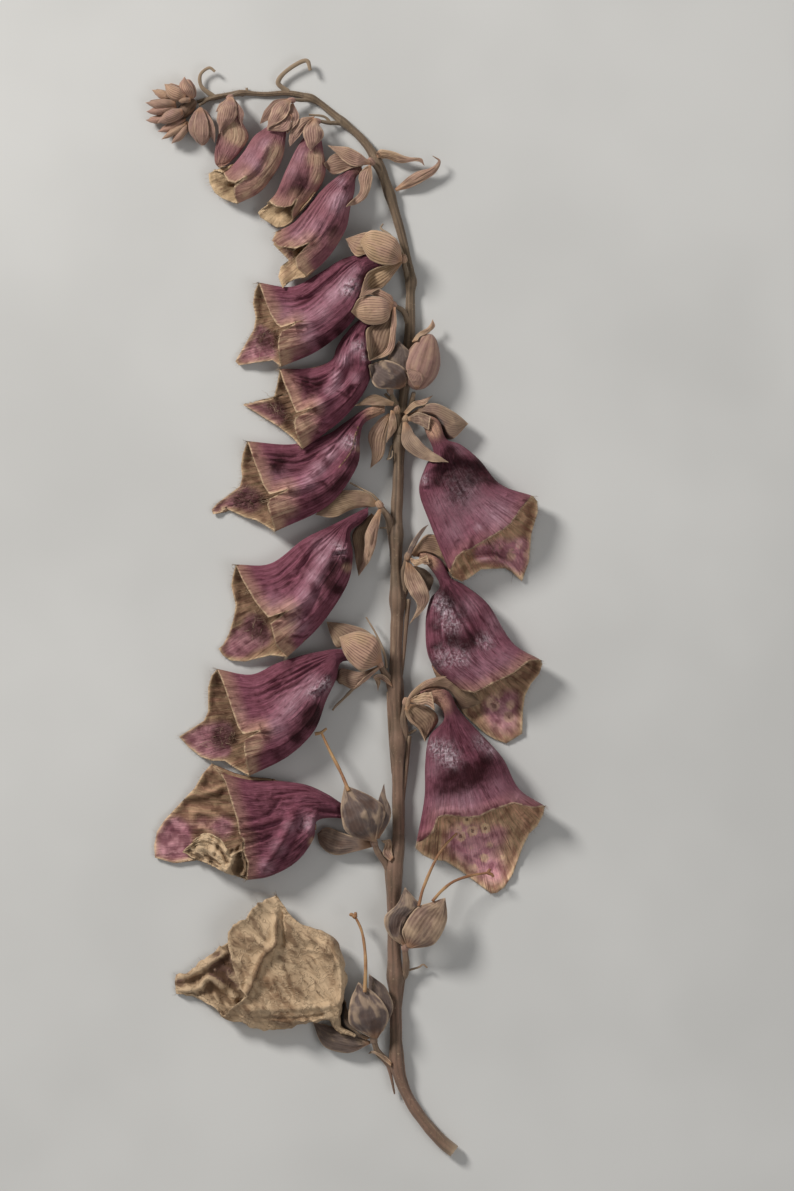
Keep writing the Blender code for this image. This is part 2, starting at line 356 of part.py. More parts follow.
# Styles left standing where a corolla has gone: centreline (x, y, z) and radius
STYLES = {
    "01": ([(5.0, -95.0, 8.2), (5.2, -88.0, 7.2), (4.8, -83.0, 6.0), (4.0, -79.4, 5.2), (2.3, -76.0, 4.6)], 0.42),
    "02a": ([(18.6, -73.4, 8.2), (19.6, -69.0, 7.2), (22.4, -62.6, 6.4), (25.0, -58.6, 6.2), (27.9, -55.6, 6.2)], 0.42),
    "02b": ([(22.0, -72.2, 8.4), (24.2, -69.8, 7.0), (27.2, -67.6, 6.0), (31.5, -66.2, 5.2), (36.4, -65.4, 4.8)], 0.42),
    "03": ([(1.2, -44.6, 9.0), (-1.0, -40.4, 6.6), (-3.6, -35.4, 5.6), (-5.8, -30.7, 5.0)], 0.45),
}


def catmull(points, t):
    """The point at t, from 0 to 1, on a smooth curve through evenly timed points."""
    last = len(points) - 1
    i = min(int(t * last), last - 1)
    f = t * last - i
    b, c = Vector(points[i]), Vector(points[i + 1])
    a = Vector(points[i - 1]) if i > 0 else 2 * b - c
    d = Vector(points[i + 2]) if i + 2 <= last else 2 * c - b
    return 0.5 * (2 * b + (c - a) * f + (2 * a - 5 * b + 4 * c - d) * f**2 + (3 * b - a - 3 * c + d) * f**3)


def along(points, t):
    """The point at the share t of the length of a polyline."""
    points = [Vector(p) for p in points]
    lengths = [(b - a).length for a, b in zip(points, points[1:])]
    left = t * sum(lengths)
    for a, b, length in zip(points, points[1:], lengths):
        if left <= length:
            return a.lerp(b, left / length)
        left -= length
    return points[-1]


def sampled(points, shares):
    """Points at these shares of a polyline's length, the nearest of them moved onto its corners."""
    lengths = [(Vector(b) - Vector(a)).length for a, b in zip(points, points[1:])]
    samples = [along(points, share) for share in shares]
    taken = {0, len(shares) - 1}
    for i, corner in enumerate(points[1:-1]):
        share = sum(lengths[: i + 1]) / sum(lengths)
        k = min(range(len(shares)), key=lambda j: abs(shares[j] - share))
        if k not in taken:
            samples[k] = Vector(corner)
            taken.add(k)
    return samples


def eased(x):
    x = min(max(x, 0.0), 1.0)
    return x * x * (3 - 2 * x)


class Relief:
    """The heights of what is already laid, so that the next piece clears it."""

    def __init__(self):
        self.trees = {}

    def add(self, name, mesh):
        mesh.calc_loop_triangles()
        points = [v.co.copy() for v in mesh.vertices]
        faces = [tuple(t.vertices) for t in mesh.loop_triangles]
        self.trees[name] = BVHTree.FromPolygons(points, faces)

    def hits(self, x, y, height, direction, reach, names):
        for ring in ((0.0, 0.0), *((reach * math.cos(a), reach * math.sin(a)) for a in RING_ANGLES)):
            start = Vector((x + ring[0], y + ring[1], height))
            for name in names or self.trees:
                hit = self.trees[name].ray_cast(start, Vector((0, 0, direction)))[0]
                if hit:
                    yield hit.z

    def top(self, x, y, reach=1.2, names=None):
        """The highest point within reach of (x, y), or minus infinity where it is bare."""
        return max(self.hits(x, y, 100.0, -1, reach, names), default=-math.inf)

    def underside(self, x, y, reach=1.2, names=None):
        """The lowest point within reach of (x, y), or infinity where it is bare."""
        return min(self.hits(x, y, -100.0, 1, reach, names), default=math.inf)


RING_ANGLES = [math.radians(a) for a in range(0, 360, 45)]
relief = Relief()


def mesh_of(name, points, faces):
    """A mesh in the plan's millimetres with its faces turned outwards."""
    mesh = bpy.data.meshes.new(name)
    mesh.from_pydata([tuple(p) for p in points], [], faces)
    edit = bmesh.new()
    edit.from_mesh(mesh)
    bmesh.ops.triangulate(edit, faces=edit.faces)
    bmesh.ops.recalc_face_normals(edit, faces=edit.faces)
    edit.to_mesh(mesh)
    edit.free()
    return mesh


def tube_faces(rings, sides, start=0):
    """The faces of a tube whose rings of points follow each other."""
    faces = []
    for r in range(rings - 1):
        for s in range(sides):
            a = start + r * sides + s
            b = start + r * sides + (s + 1) % sides
            faces.append((a, b, b + sides, a + sides))
    return faces


def sweep(name, path, radii, sides, level=False):
    """A closed tube along a path, with a flat side turned down. A level one is cut upright."""
    points = []
    for i, centre in enumerate(path):
        ahead = (path[min(i + 1, len(path) - 1)] - path[max(i - 1, 0)]).normalized()
        across = ahead.cross(Vector((0, 0, 1))).normalized()
        up = Vector((0, 0, 1)) if level else across.cross(ahead)
        for s in range(sides):
            angle = 2 * math.pi * (s + 0.5) / sides - math.pi / 2
            points.append(centre + radii[i] * (math.cos(angle) * across + math.sin(angle) * up))
    last = len(points) - sides
    faces = tube_faces(len(path), sides)
    faces += [tuple(range(sides)), tuple(range(last, last + sides))]
    return mesh_of(name, points, faces)


def spindle(name, ends, across, up, sides=8, rings=7, blunt=0.12):
    """A closed pointed oval body along a straight axis."""
    start, end = Vector(ends[0]), Vector(ends[1])
    ahead = (end - start).normalized()
    side = ahead.cross(Vector((0, 0, 1))).normalized()
    over = side.cross(ahead)
    points = []
    for r in range(rings):
        t = r / (rings - 1)
        swell = blunt + (1 - blunt) * math.sin(math.pi * t**0.85) ** 0.8
        for s in range(sides):
            angle = 2 * math.pi * (s + 0.5) / sides
            spread = across * math.cos(angle) * side + up * math.sin(angle) * over
            points.append(start.lerp(end, t) + swell * spread)
    last = len(points) - sides
    faces = tube_faces(rings, sides)
    faces += [tuple(range(sides)), tuple(range(last, last + sides))]
    return mesh_of(name, points, faces)


BLADE_SHARES = ((0.0, 0.32), (0.24, 0.88), (0.5, 1.0), (0.78, 0.64), (1.0, 0.14))


def blade(name, path, width, place="free", keep_off=None):
    """A thin pointed blade with a raised midrib, laid over or tucked under what is in the relief."""
    points = []
    for t, share in BLADE_SHARES:
        centre = catmull(path, t)
        ahead = catmull(path, min(t + 0.02, 1.0)) - catmull(path, max(t - 0.02, 0.0))
        across = Vector((ahead.y, -ahead.x, 0)).normalized()
        half = max(width * share / 2, 0.3)
        section = [(-1.0, 0.0), (0.0, 0.22 * half), (1.0, 0.0)]
        top = [centre + s * half * across + Vector((0, 0, rise)) for s, rise in section]
        for p in top:
            p.z = max(p.z, BLADE)
        if place == "over" and t > 0.05:
            for p in top:
                floor = relief.top(p.x, p.y) + GAP + BLADE
                p.z = max(p.z, floor)
        if place == "under" and t > 0.05:
            for p in top:
                roof = relief.underside(p.x, p.y, names=keep_off) - GAP
                p.z = max(min(p.z, roof), BLADE)
                floor = relief.top(p.x, p.y, 0.8, names=["stem"]) + GAP + BLADE
                p.z = max(p.z, floor)
        points += top + [p - Vector((0, 0, BLADE)) for p in reversed(top)]
    rings = len(BLADE_SHARES)
    last = 6 * (rings - 1)
    faces = tube_faces(rings, 6)
    faces += [(0, 1, 4, 5), (1, 2, 3, 4), (last, last + 1, last + 4, last + 5)]
    faces += [(last + 1, last + 2, last + 3, last + 4)]
    return mesh_of(name, points, faces)


def largest_shell(mesh):
    """The mesh without the small pockets that a union of blades can close off."""
    edit = bmesh.new()
    edit.from_mesh(mesh)
    left = set(edit.verts)
    shells = []
    while left:
        shell = {left.pop()}
        edge = list(shell)
        while edge:
            near = {e.other_vert(v) for v in edge for e in v.link_edges} - shell
            shell |= near
            edge = list(near)
        left -= shell
        shells.append(shell)
    shells.sort(key=len)
    bmesh.ops.delete(edit, geom=[v for shell in shells[:-1] for v in shell], context="VERTS")
    edit.to_mesh(mesh)
    edit.free()
    return mesh


def fused(name, shells):
    """One closed mesh from closed shells that overlap."""
    helpers = [bpy.data.objects.new(f"{name}_shell", shell) for shell in shells]
    for helper in helpers:
        bpy.context.scene.collection.objects.link(helper)
    for other in helpers[1:]:
        union = helpers[0].modifiers.new("Union", "BOOLEAN")
        union.operation = "UNION"
        union.solver = "MANIFOLD"
        union.object = other
    graph = bpy.context.evaluated_depsgraph_get()
    mesh = largest_shell(bpy.data.meshes.new_from_object(helpers[0].evaluated_get(graph)))
    for helper in helpers:
        bpy.data.objects.remove(helper)
    mesh.name = name
    return mesh


BELL_RINGS = 8
BELL_SIDES = 16
NECK_START = 0.05  # share of a bell's length that stays clear of its calyx's swelling
STALK_END = 0.86  # share of a stalk's path that the stalk itself takes up


def bell(name, spec):
    """A corolla pressed nearly flat: a cup with an upper and a lower wall and a lobed mouth."""
    firsts = [Vector((*a, 0)) for a, _ in spec["stations"]]
    seconds = [Vector((*b, 0)) for _, b in spec["stations"]]
    edges = [
        [firsts[-1], *(Vector((*p, 0)) for p in spec[side]), seconds[-1]] for side in ("near", "far")
    ]
    closed = spec.get("closed", False)
    half = BELL_SIDES // 2
    shares = [(1 - math.cos(math.pi * s / half)) / 2 for s in range(half + 1)]
    upper_edge, lower_edge = (sampled(edge, shares) for edge in edges)
    mouth = upper_edge + lower_edge[-2:0:-1]
    outer = []
    for r in range(BELL_RINGS):
        u = r / (BELL_RINGS - 1)
        swell = 0.24 + 0.76 * eased(u / 0.5)
        if closed:
            swell = 0.4 + 0.6 * math.sin(math.pi * min(u + 0.15, 1.0)) ** 0.7
        for s in range(BELL_SIDES):
            angle = 2 * math.pi * s / BELL_SIDES
            v = (1 - math.cos(angle)) / 2
            upper = angle <= math.pi
            reach = mouth[s] - firsts[-1].lerp(seconds[-1], v)
            t = NECK_START + (1 - NECK_START) * u
            p = catmull(firsts, t).lerp(catmull(seconds, t), v) + u**2.6 * reach
            side_height = spec["lift"][0] * (1 - v) + spec["lift"][1] * v
            height = spec["base"] + (side_height - spec["base"]) * eased(u / 0.6)
            depth = spec["depth"][0 if upper else 1] * swell
            fold = 0.35 * eased(u / 0.6) * math.sin(5 * math.pi * v) * math.sin(math.pi * v)
            if upper:
                p.z = height + depth * math.sin(angle) ** 0.8 + fold
            else:
                p.z = max(height - depth * (-math.sin(angle)) ** 0.8 + fold * (1 - u), 0.0)
            outer.append(p)
    for _ in range(2):
        for i, p in enumerate(outer):
            r, s = divmod(i, BELL_SIDES)
            share = math.sin(2 * math.pi * s / BELL_SIDES)
            floor = relief.top(p.x, p.y, 1.4) + GAP + (2.0 if share > 0.1 else 0.9 if share > -0.1 else 0.0)
            p.z = max(p.z, floor)
    if closed:
        last = len(outer) - BELL_SIDES
        faces = tube_faces(BELL_RINGS, BELL_SIDES)
        faces += [tuple(range(BELL_SIDES)), tuple(range(last, last + BELL_SIDES))]
        return mesh_of(name, outer, faces)
    count = len(outer)
    shell = mesh_of(name, outer, tube_faces(BELL_RINGS, BELL_SIDES) + [tuple(range(BELL_SIDES))])
    if shell.vertices[BELL_SIDES * 4 + 4].normal.z < 0:
        shell.flip_normals()
    inner = []
    for i, vertex in enumerate(shell.vertices):
        up = math.sin(2 * math.pi * (i % BELL_SIDES) / BELL_SIDES)
        outwards = vertex.normal.copy()
        if abs(up) > 0.3 and outwards.z * up < 0.1:
            outwards = Vector((0, 0, math.copysign(1, up)))
        inner.append(vertex.co - PETAL_WALL * outwards)
    inner = inner[BELL_SIDES:]
    faces = tube_faces(BELL_RINGS, BELL_SIDES) + [tuple(range(BELL_SIDES))]
    faces += tube_faces(BELL_RINGS - 1, BELL_SIDES, count) + [tuple(range(count, count + BELL_SIDES))]
    rim = BELL_SIDES * (BELL_RINGS - 1)
    inner_rim = count + BELL_SIDES * (BELL_RINGS - 2)
    for s in range(BELL_SIDES):
        t = (s + 1) % BELL_SIDES
        faces.append((rim + s, rim + t, inner_rim + t, inner_rim + s))
    bpy.data.meshes.remove(shell)
    return mesh_of(name, outer + inner, faces)


def material_for(name, kind):
    """The object's own material in the colour of its kind."""
    material = bpy.data.materials.new(name)
    material.use_nodes = True
    shader = material.node_tree.nodes["Principled BSDF"]
    shader.inputs["Base Color"].default_value = (*COLOURS[kind], 1.0)
    shader.inputs["Roughness"].default_value = 0.75
    return material


def place(name, mesh, kind, joint, root):
    """One sub-part, with its origin where it joins the plant."""
    relief.add(name, mesh)
    for vertex in mesh.vertices:
        vertex.co = (vertex.co - joint) * MM
    mesh.name = name
    mesh.materials.clear()
    mesh.materials.append(material_for(name, kind))
    piece = bpy.data.objects.new(name, mesh)
    bpy.context.scene.collection.objects.link(piece)
    piece.parent = root
    piece.location = joint * MM
    return piece


def receptacle(name, flower):
    """The swelling at the end of a stalk, clear of the stalk itself."""
    path = PEDICELS[flower][0]
    ahead = (Vector(path[-1]) - Vector(path[-2])).normalized()
    start = Vector(path[-1]) + GAP * ahead
    end = start + RECEPTACLE * ahead
    return spindle(name, (start, end), 1.3, 1.1, sides=6, rings=4, blunt=0.6), start.lerp(end, 0.5)


def joint_of(flower):
    return Vector(PEDICELS[flower][0][-1])


def make_stem(root):
    """The flowering stem with its stalks and bracts."""
    flat = math.cos(math.pi / STEM_SIDES)
    path = [Vector((x, y, r * flat)) for x, y, r in STEM]
    shells = [sweep("stem", path, [r for _, _, r in STEM], STEM_SIDES, level=True)]
    for points, radius in PEDICELS.values():
        count = 4
        stalk = [catmull(points, STALK_END * i / (count - 1)) for i in range(count)]
        shells.append(sweep("stalk", stalk, [radius * (1 - 0.1 * i) for i in range(count)], PEDICEL_SIDES))
    for points, width in BRACTS:
        shells.append(blade("bract", points, width))
    return place("stem", fused("stem", shells), "stem", Vector((27.2, -135.3, 0)), root)


def make_corollas(root):
    for flower in LAYERS:
        spec = COROLLAS[flower]
        place(f"corolla_{flower}", bell(f"corolla_{flower}", spec), spec["material"], joint_of(flower), root)


def make_calyces(root):
    for flower, sepals in SEPALS.items():
        name = f"calyx_{flower}"
        own = [f"corolla_{flower}"] if flower in COROLLAS else None
        swelling, middle = receptacle(name, flower)
        shells = [swelling]
        for path, width, where in sepals:
            shells.append(blade(name, [middle, *path[1:]], width, where, own))
        kind = "grey_sepal" if int(flower) < 7 or flower == "11" else "sepal"
        place(name, fused(name, shells), kind, joint_of(flower), root)


def make_buds(root):
    body = spindle("capsule_10", CAPSULE[:2], *CAPSULE[2:], sides=10, rings=8, blunt=0.2)
    shells = [body] + [blade("capsule_10", path, width) for path, width in CAPSULE_SEPALS]
    place("capsule_10", fused("capsule_10", shells), "bud", joint_of("10"), root)
    body = spindle("bud_18", BUD[:2], *BUD[2:], sides=10, rings=8, blunt=0.3)
    shells = [body] + [blade("bud_18", path, width) for path, width in BUD_SEPALS]
    place("bud_18", fused("bud_18", shells), "bud", joint_of("18"), root)
    shells = [spindle("tip_buds", TIP_CORE[:2], *TIP_CORE[2:], sides=8, rings=5, blunt=0.4)]
    for base, tip, width in TIP_BUDS:
        shells.append(spindle("tip_buds", (base, tip), width / 2, width / 2, sides=5, rings=5))
    place("tip_buds", fused("tip_buds", shells), "sepal", Vector((-38.0, 126.6, 2.2)), root)


def make_styles(root):
    for flower, (points, radius) in STYLES.items():
        count = 9
        path = [catmull(points, i / (count - 1)) for i in range(count)]
        for p in path:
            p.z = max(p.z, relief.top(p.x, p.y, 0.8) + GAP + radius)
        name = f"style_{flower}"
        place(name, sweep(name, path, [radius] * count, 6), "pistil", path[0], root)


def centre(root):
    """Puts the middle of the spike's footprint at the origin and its lowest point on z = 0."""
    bpy.context.view_layer.update()
    corners = [o.matrix_world @ v.co for o in root.children for v in o.data.vertices]
    low = [min(c[i] for c in corners) for i in range(3)]
    high = [max(c[i] for c in corners) for i in range(3)]
    root.location = (-(low[0] + high[0]) / 2, -(low[1] + high[1]) / 2, -low[2])
    bpy.context.view_layer.update()


def main():
    for existing in list(bpy.data.objects):
        bpy.data.objects.remove(existing)
    root = bpy.data.objects.new("foxglove_spike", None)
    bpy.context.scene.collection.objects.link(root)
    make_stem(root)
    make_corollas(root)
    make_calyces(root)
    make_buds(root)
    make_styles(root)
    centre(root)


main()
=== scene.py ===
import json
import math

import bpy
import numpy as np
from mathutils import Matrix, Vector


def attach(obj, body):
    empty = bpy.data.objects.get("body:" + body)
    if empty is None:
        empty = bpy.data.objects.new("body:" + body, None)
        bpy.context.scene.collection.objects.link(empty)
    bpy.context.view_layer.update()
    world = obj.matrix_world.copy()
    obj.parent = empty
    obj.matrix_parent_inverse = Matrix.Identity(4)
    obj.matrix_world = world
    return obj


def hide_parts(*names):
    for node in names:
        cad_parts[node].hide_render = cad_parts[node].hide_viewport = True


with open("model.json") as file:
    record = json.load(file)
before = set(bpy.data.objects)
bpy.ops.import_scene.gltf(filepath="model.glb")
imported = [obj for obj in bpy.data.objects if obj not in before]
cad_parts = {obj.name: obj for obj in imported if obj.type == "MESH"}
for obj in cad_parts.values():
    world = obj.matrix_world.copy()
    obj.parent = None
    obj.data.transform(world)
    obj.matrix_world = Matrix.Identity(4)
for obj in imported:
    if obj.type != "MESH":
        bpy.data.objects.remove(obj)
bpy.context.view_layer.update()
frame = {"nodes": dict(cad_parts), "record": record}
mm = 0.001

# the tables below are in millimetres in the spike's own plan, which its resting face ties to the frame
restingFace = frame["record"]["mounts"][0]["pos_m"]
restingFaceInPlan = (13.0686, 26.9964)
planShift = np.array([restingFace[0] / mm - restingFaceInPlan[0], restingFace[1] / mm - restingFaceInPlan[1], 0.0])
print("frame loaded:", len(frame["nodes"]), "nodes")


# tables, curves and grain

def way(text):  # "x y, x y, ..." as points
    return [tuple(map(float, point.split())) for point in text.split(",")]


def creases(text):  # "points / width height; ..." as lines that are raised or sunk
    return [(way(line), *map(float, size.split())) for line, size in (row.split("/") for row in text.split(";"))]


def sheet(text, lay="over", pointed=True, **look):  # "one edge, to the tip / other edge, up to it / heights" of a leaf
    left, right, heights = text.split("/")
    left, right = way(left), way(right)
    return left, right + left[-1:] * pointed, tuple(map(float, heights.split())), lay, look


def curveAt(points, times):  # evenly timed points on a smooth curve
    points = np.asarray(points, float)
    last = len(points) - 1
    padded = np.vstack([2 * points[0] - points[1], points, 2 * points[-1] - points[-2]])
    x = np.clip(np.asarray(times, float) * last, 0, last - 1e-9)
    i = x.astype(int)
    f = (x - i)[:, None]
    a, b, c, d = padded[i], padded[i + 1], padded[i + 2], padded[i + 3]
    return 0.5 * (2 * b + (c - a) * f + (2 * a - 5 * b + 4 * c - d) * f**2 + (3 * b - a - 3 * c + d) * f**3)


def edgeAt(points, shares):  # straight stretches read by length, with every corner kept
    points = np.asarray(points, float)
    lengths = np.concatenate([[0], np.cumsum(np.linalg.norm(np.diff(points, axis=0), axis=1))])
    at = np.asarray(shares) * lengths[-1]
    for corner in lengths[1:-1]:
        at[1 + np.argmin(np.abs(at[1:-1] - corner))] = corner
    at.sort()
    return np.stack([np.interp(at, lengths, axis) for axis in points.T], axis=1)


def eased(x):  # a smooth step from 0 to 1
    x = np.clip(x, 0.0, 1.0)
    return x * x * (3 - 2 * x)


def unit(vectors):
    return vectors / np.maximum(np.linalg.norm(vectors, axis=-1, keepdims=True), 1e-9)


def atLeast(z, floor, soft=0.25):  # a maximum with no sharp corner
    gap = (z - floor) / soft
    return floor + soft * np.logaddexp(0, np.clip(gap, -40, 40)) * np.where(gap > 40, gap / 40, 1)


hashPrimes = {"x": 73856093, "y": 19349663, "seed": 83492791, "first": 1274126177, "second": 668265263}


def cellCorners(x, y, seed):  # the place in a grid cell, and random heights at its corners
    px, py = np.asarray(x, float) + seed * 13.7, np.asarray(y, float) - seed * 7.3
    ix, iy = np.floor(px).astype(np.int64), np.floor(py).astype(np.int64)
    heights = []
    for dx, dy in ((0, 0), (1, 0), (0, 1), (1, 1)):
        h = ((ix + dx) * hashPrimes["x"]) ^ ((iy + dy) * hashPrimes["y"]) ^ (int(seed * 1000 + 77) * hashPrimes["seed"])
        h = ((h ^ (h >> 13)) * hashPrimes["first"]) & 0x7FFFFFFF
        h = ((h ^ (h >> 11)) * hashPrimes["second"]) & 0x7FFFFFFF
        heights.append(((h >> 7) & 0xFFFF) / 32767.5 - 1)
    return px - ix, py - iy, heights


def grain(x, y, seed=0.0):  # smooth noise from -1 to 1
    fx, fy, (a, b, c, d) = cellCorners(x, y, seed)
    wx, wy = fx * fx * (3 - 2 * fx), fy * fy * (3 - 2 * fy)
    return (a * (1 - wx) + b * wx) * (1 - wy) + (c * (1 - wx) + d * wx) * wy


def facets(x, y, seed=0.0):  # flat triangles that meet in creases, from -1 to 1
    bentX = x + 0.35 * grain(x * 0.7, y * 0.7, seed + 3)
    bentY = y + 0.35 * grain(x * 0.7, y * 0.7, seed + 4) + x * 0.5
    fx, fy, (a, b, c, d) = cellCorners(bentX, bentY, seed)
    return np.where(fx + fy < 1, a + fx * (b - a) + fy * (c - a), d + (1 - fx) * (c - d) + (1 - fy) * (b - d))


def layered(x, y, seed=0.0, octaves=4):  # grain on finer grain
    return sum(grain(x * 2**k, y * 2**k, seed + k) * 0.5**k for k in range(octaves))


def crushed(x, y, seed=0.0, octaves=3):  # sharp folds, as in crumpled paper
    return sum((0.5 - np.abs(grain(x * 1.9**k, y * 1.9**k, seed + k))) * 0.55**k for k in range(octaves))


def distanceTo(x, y, line, smooth=True):  # to a line in the plan: signed distance and the share passed
    fine = curveAt(line, np.linspace(0, 1, 26)) if smooth else np.asarray(line, float)
    best = np.full(np.shape(x), 1e9)
    side = np.ones(np.shape(x))
    passed = np.zeros(np.shape(x))
    for k, (a, b) in enumerate(zip(fine, fine[1:])):
        step = b - a
        f = np.clip(((x - a[0]) * step[0] + (y - a[1]) * step[1]) / max(step @ step, 1e-9), 0, 1)
        d = np.hypot(x - a[0] - f * step[0], y - a[1] - f * step[1])
        closer = d < best
        best = np.where(closer, d, best)
        side = np.where(closer, np.sign(step[0] * (y - a[1]) - step[1] * (x - a[0])), side)
        passed = np.where(closer, (k + f) / (len(fine) - 1), passed)
    return best * side, passed


def patches(x, y, spots):  # soft patches, each x, y, radius, strength
    total = np.zeros(np.shape(x))
    for cx, cy, radius, strength in spots:
        total = total + strength * np.exp(-(((x - cx) ** 2 + (y - cy) ** 2) / radius**2))
    return np.clip(total, 0, 1)


class Laid:  # heights of what already lies there, which the next piece clears
    cell, left, bottom, shape = 0.5, -62.0, -147.0, (250, 590)
    bareTop, openUnder = -6.0, 14.0  # the heights that stand for nothing below and nothing above

    def __init__(self):
        self.top = np.full(self.shape, self.bareTop)
        self.soft = self.top
        self.under = {}

    def spread(self, field, pick, reach=2, blur=2):
        for _ in range(reach):
            field = pick.reduce([field] + [np.roll(field, k, axis) for axis in (0, 1) for k in (-1, 1)])
        for _ in range(blur):
            field = sum(np.roll(np.roll(field, i, 0), j, 1) for i in (-1, 0, 1) for j in (-1, 0, 1)) / 9
        return field

    def add(self, points, name=None):
        gx, gy = self.index(points[:, 0], points[:, 1])
        cells = np.rint(gx).astype(int), np.rint(gy).astype(int)
        np.maximum.at(self.top, cells, points[:, 2])
        self.soft = self.spread(self.top, np.maximum)
        if name:
            low = np.full(self.shape, self.openUnder)
            np.minimum.at(low, cells, points[:, 2])
            self.under[name] = self.spread(low, np.minimum)

    def index(self, x, y):
        gx = np.clip((x - self.left) / self.cell, 0, self.shape[0] - 1.001)
        return gx, np.clip((y - self.bottom) / self.cell, 0, self.shape[1] - 1.001)

    def read(self, field, x, y):
        gx, gy = self.index(x, y)
        i, j = gx.astype(int), gy.astype(int)
        fx, fy = gx - i, gy - j
        low = field[i, j] * (1 - fx) + field[i + 1, j] * fx
        return low * (1 - fy) + (field[i, j + 1] * (1 - fx) + field[i + 1, j + 1] * fx) * fy


laid = Laid()


# one way of writing node graphs, for shaders and for geometry

class Socket:
    def __init__(self, graph, link):
        self.graph, self.link = graph, link

    def maths(self, operation, a, b=0.0):
        return self.graph.node("ShaderNodeMath", {"operation": operation}, {0: a, 1: b})

    def __add__(self, other):
        return self.maths("ADD", self, other)

    def __sub__(self, other):
        return self.maths("SUBTRACT", self, other)

    def __rsub__(self, other):
        return self.maths("SUBTRACT", other, self)

    def __mul__(self, other):
        return self.maths("MULTIPLY", self, other)

    def __abs__(self):
        return self.maths("ABSOLUTE", self)

    __radd__ = __add__
    __rmul__ = __mul__


class Graph:
    def node(self, kind, settings, sockets, output=0):
        made = self.tree.nodes.new(kind)
        for key, value in settings.items():
            setattr(made, key, value)
        for key, value in sockets.items():
            if isinstance(value, Socket):
                self.tree.links.new(value.link, made.inputs[key])
            else:
                made.inputs[key].default_value = value
        return Socket(self, made.outputs[output])


def tone(*seen):  # a colour as it looks, red, green and blue to 255, made linear
    return tuple(c / 12.92 if c <= 0.04045 else ((c + 0.055) / 1.055) ** 2.4 for c in (part / 255 for part in seen))


class Paint(Graph):  # a material
    def __init__(self, name, **constants):
        self.material = bpy.data.materials.new(name)
        self.material.use_nodes = True
        self.tree = self.material.node_tree
        self.shader = self.tree.nodes["Principled BSDF"]
        for key, value in constants.items():
            self.shader.inputs[key.replace("_", " ")].default_value = value

    def attribute(self, name):
        return self.node("ShaderNodeAttribute", {"attribute_name": name}, {}, "Fac")

    def place(self):
        return self.node("ShaderNodeTexCoord", {}, {}, "Object")

    def surface(self, x=1.0, y=1.0):  # the piece's own map, in millimetres along and across, stretched
        vector = self.node("ShaderNodeUVMap", {"uv_map": "surface"}, {})
        return self.node("ShaderNodeMapping", {}, {"Vector": vector, "Scale": (x, y, 1.0)})

    def noise(self, vector, scale, detail, roughness, distortion=0.0):
        sockets = {"Vector": vector, "Scale": scale, "Detail": detail, "Roughness": roughness}
        return self.node("ShaderNodeTexNoise", {}, {**sockets, "Distortion": distortion})

    def between(self, value, low, high):  # 0 at low, 1 at high, eased
        sockets = {"Value": value, "From Min": low, "From Max": high}
        return self.node("ShaderNodeMapRange", {"interpolation_type": "SMOOTHSTEP"}, sockets)

    def mix(self, factor, a, b, blend="MIX"):
        a, b = (c if isinstance(c, Socket) else (*c, 1.0) for c in (a, b))
        return self.node("ShaderNodeMix", {"data_type": "RGBA", "blend_type": blend}, {0: factor, 6: a, 7: b}, 2)

    def tinted(self, colour, tint):
        return self.mix(1.0, colour, tint, "MULTIPLY")

    def layers(self, colour, tones, *rows):  # each row is a mask, where it starts and is full, its strength and tone
        for mask, low, high, strength, key in rows:
            colour = self.mix(self.between(mask, low, high) * strength, colour, tones[key])
        return colour

    def finish(self, colour, roughness, bumps):  # each bump is height, strength, depth in mm
        self.tree.links.new(colour.link, self.shader.inputs["Base Color"])
        self.tree.links.new(roughness.link, self.shader.inputs["Roughness"])
        normal = None
        for height, strength, depth in bumps:
            sockets = {"Height": height, "Strength": strength, "Distance": depth * mm}
            if normal:
                sockets["Normal"] = normal
            normal = self.node("ShaderNodeBump", {}, sockets)
        self.tree.links.new(normal.link, self.shader.inputs["Normal"])
        return self.material


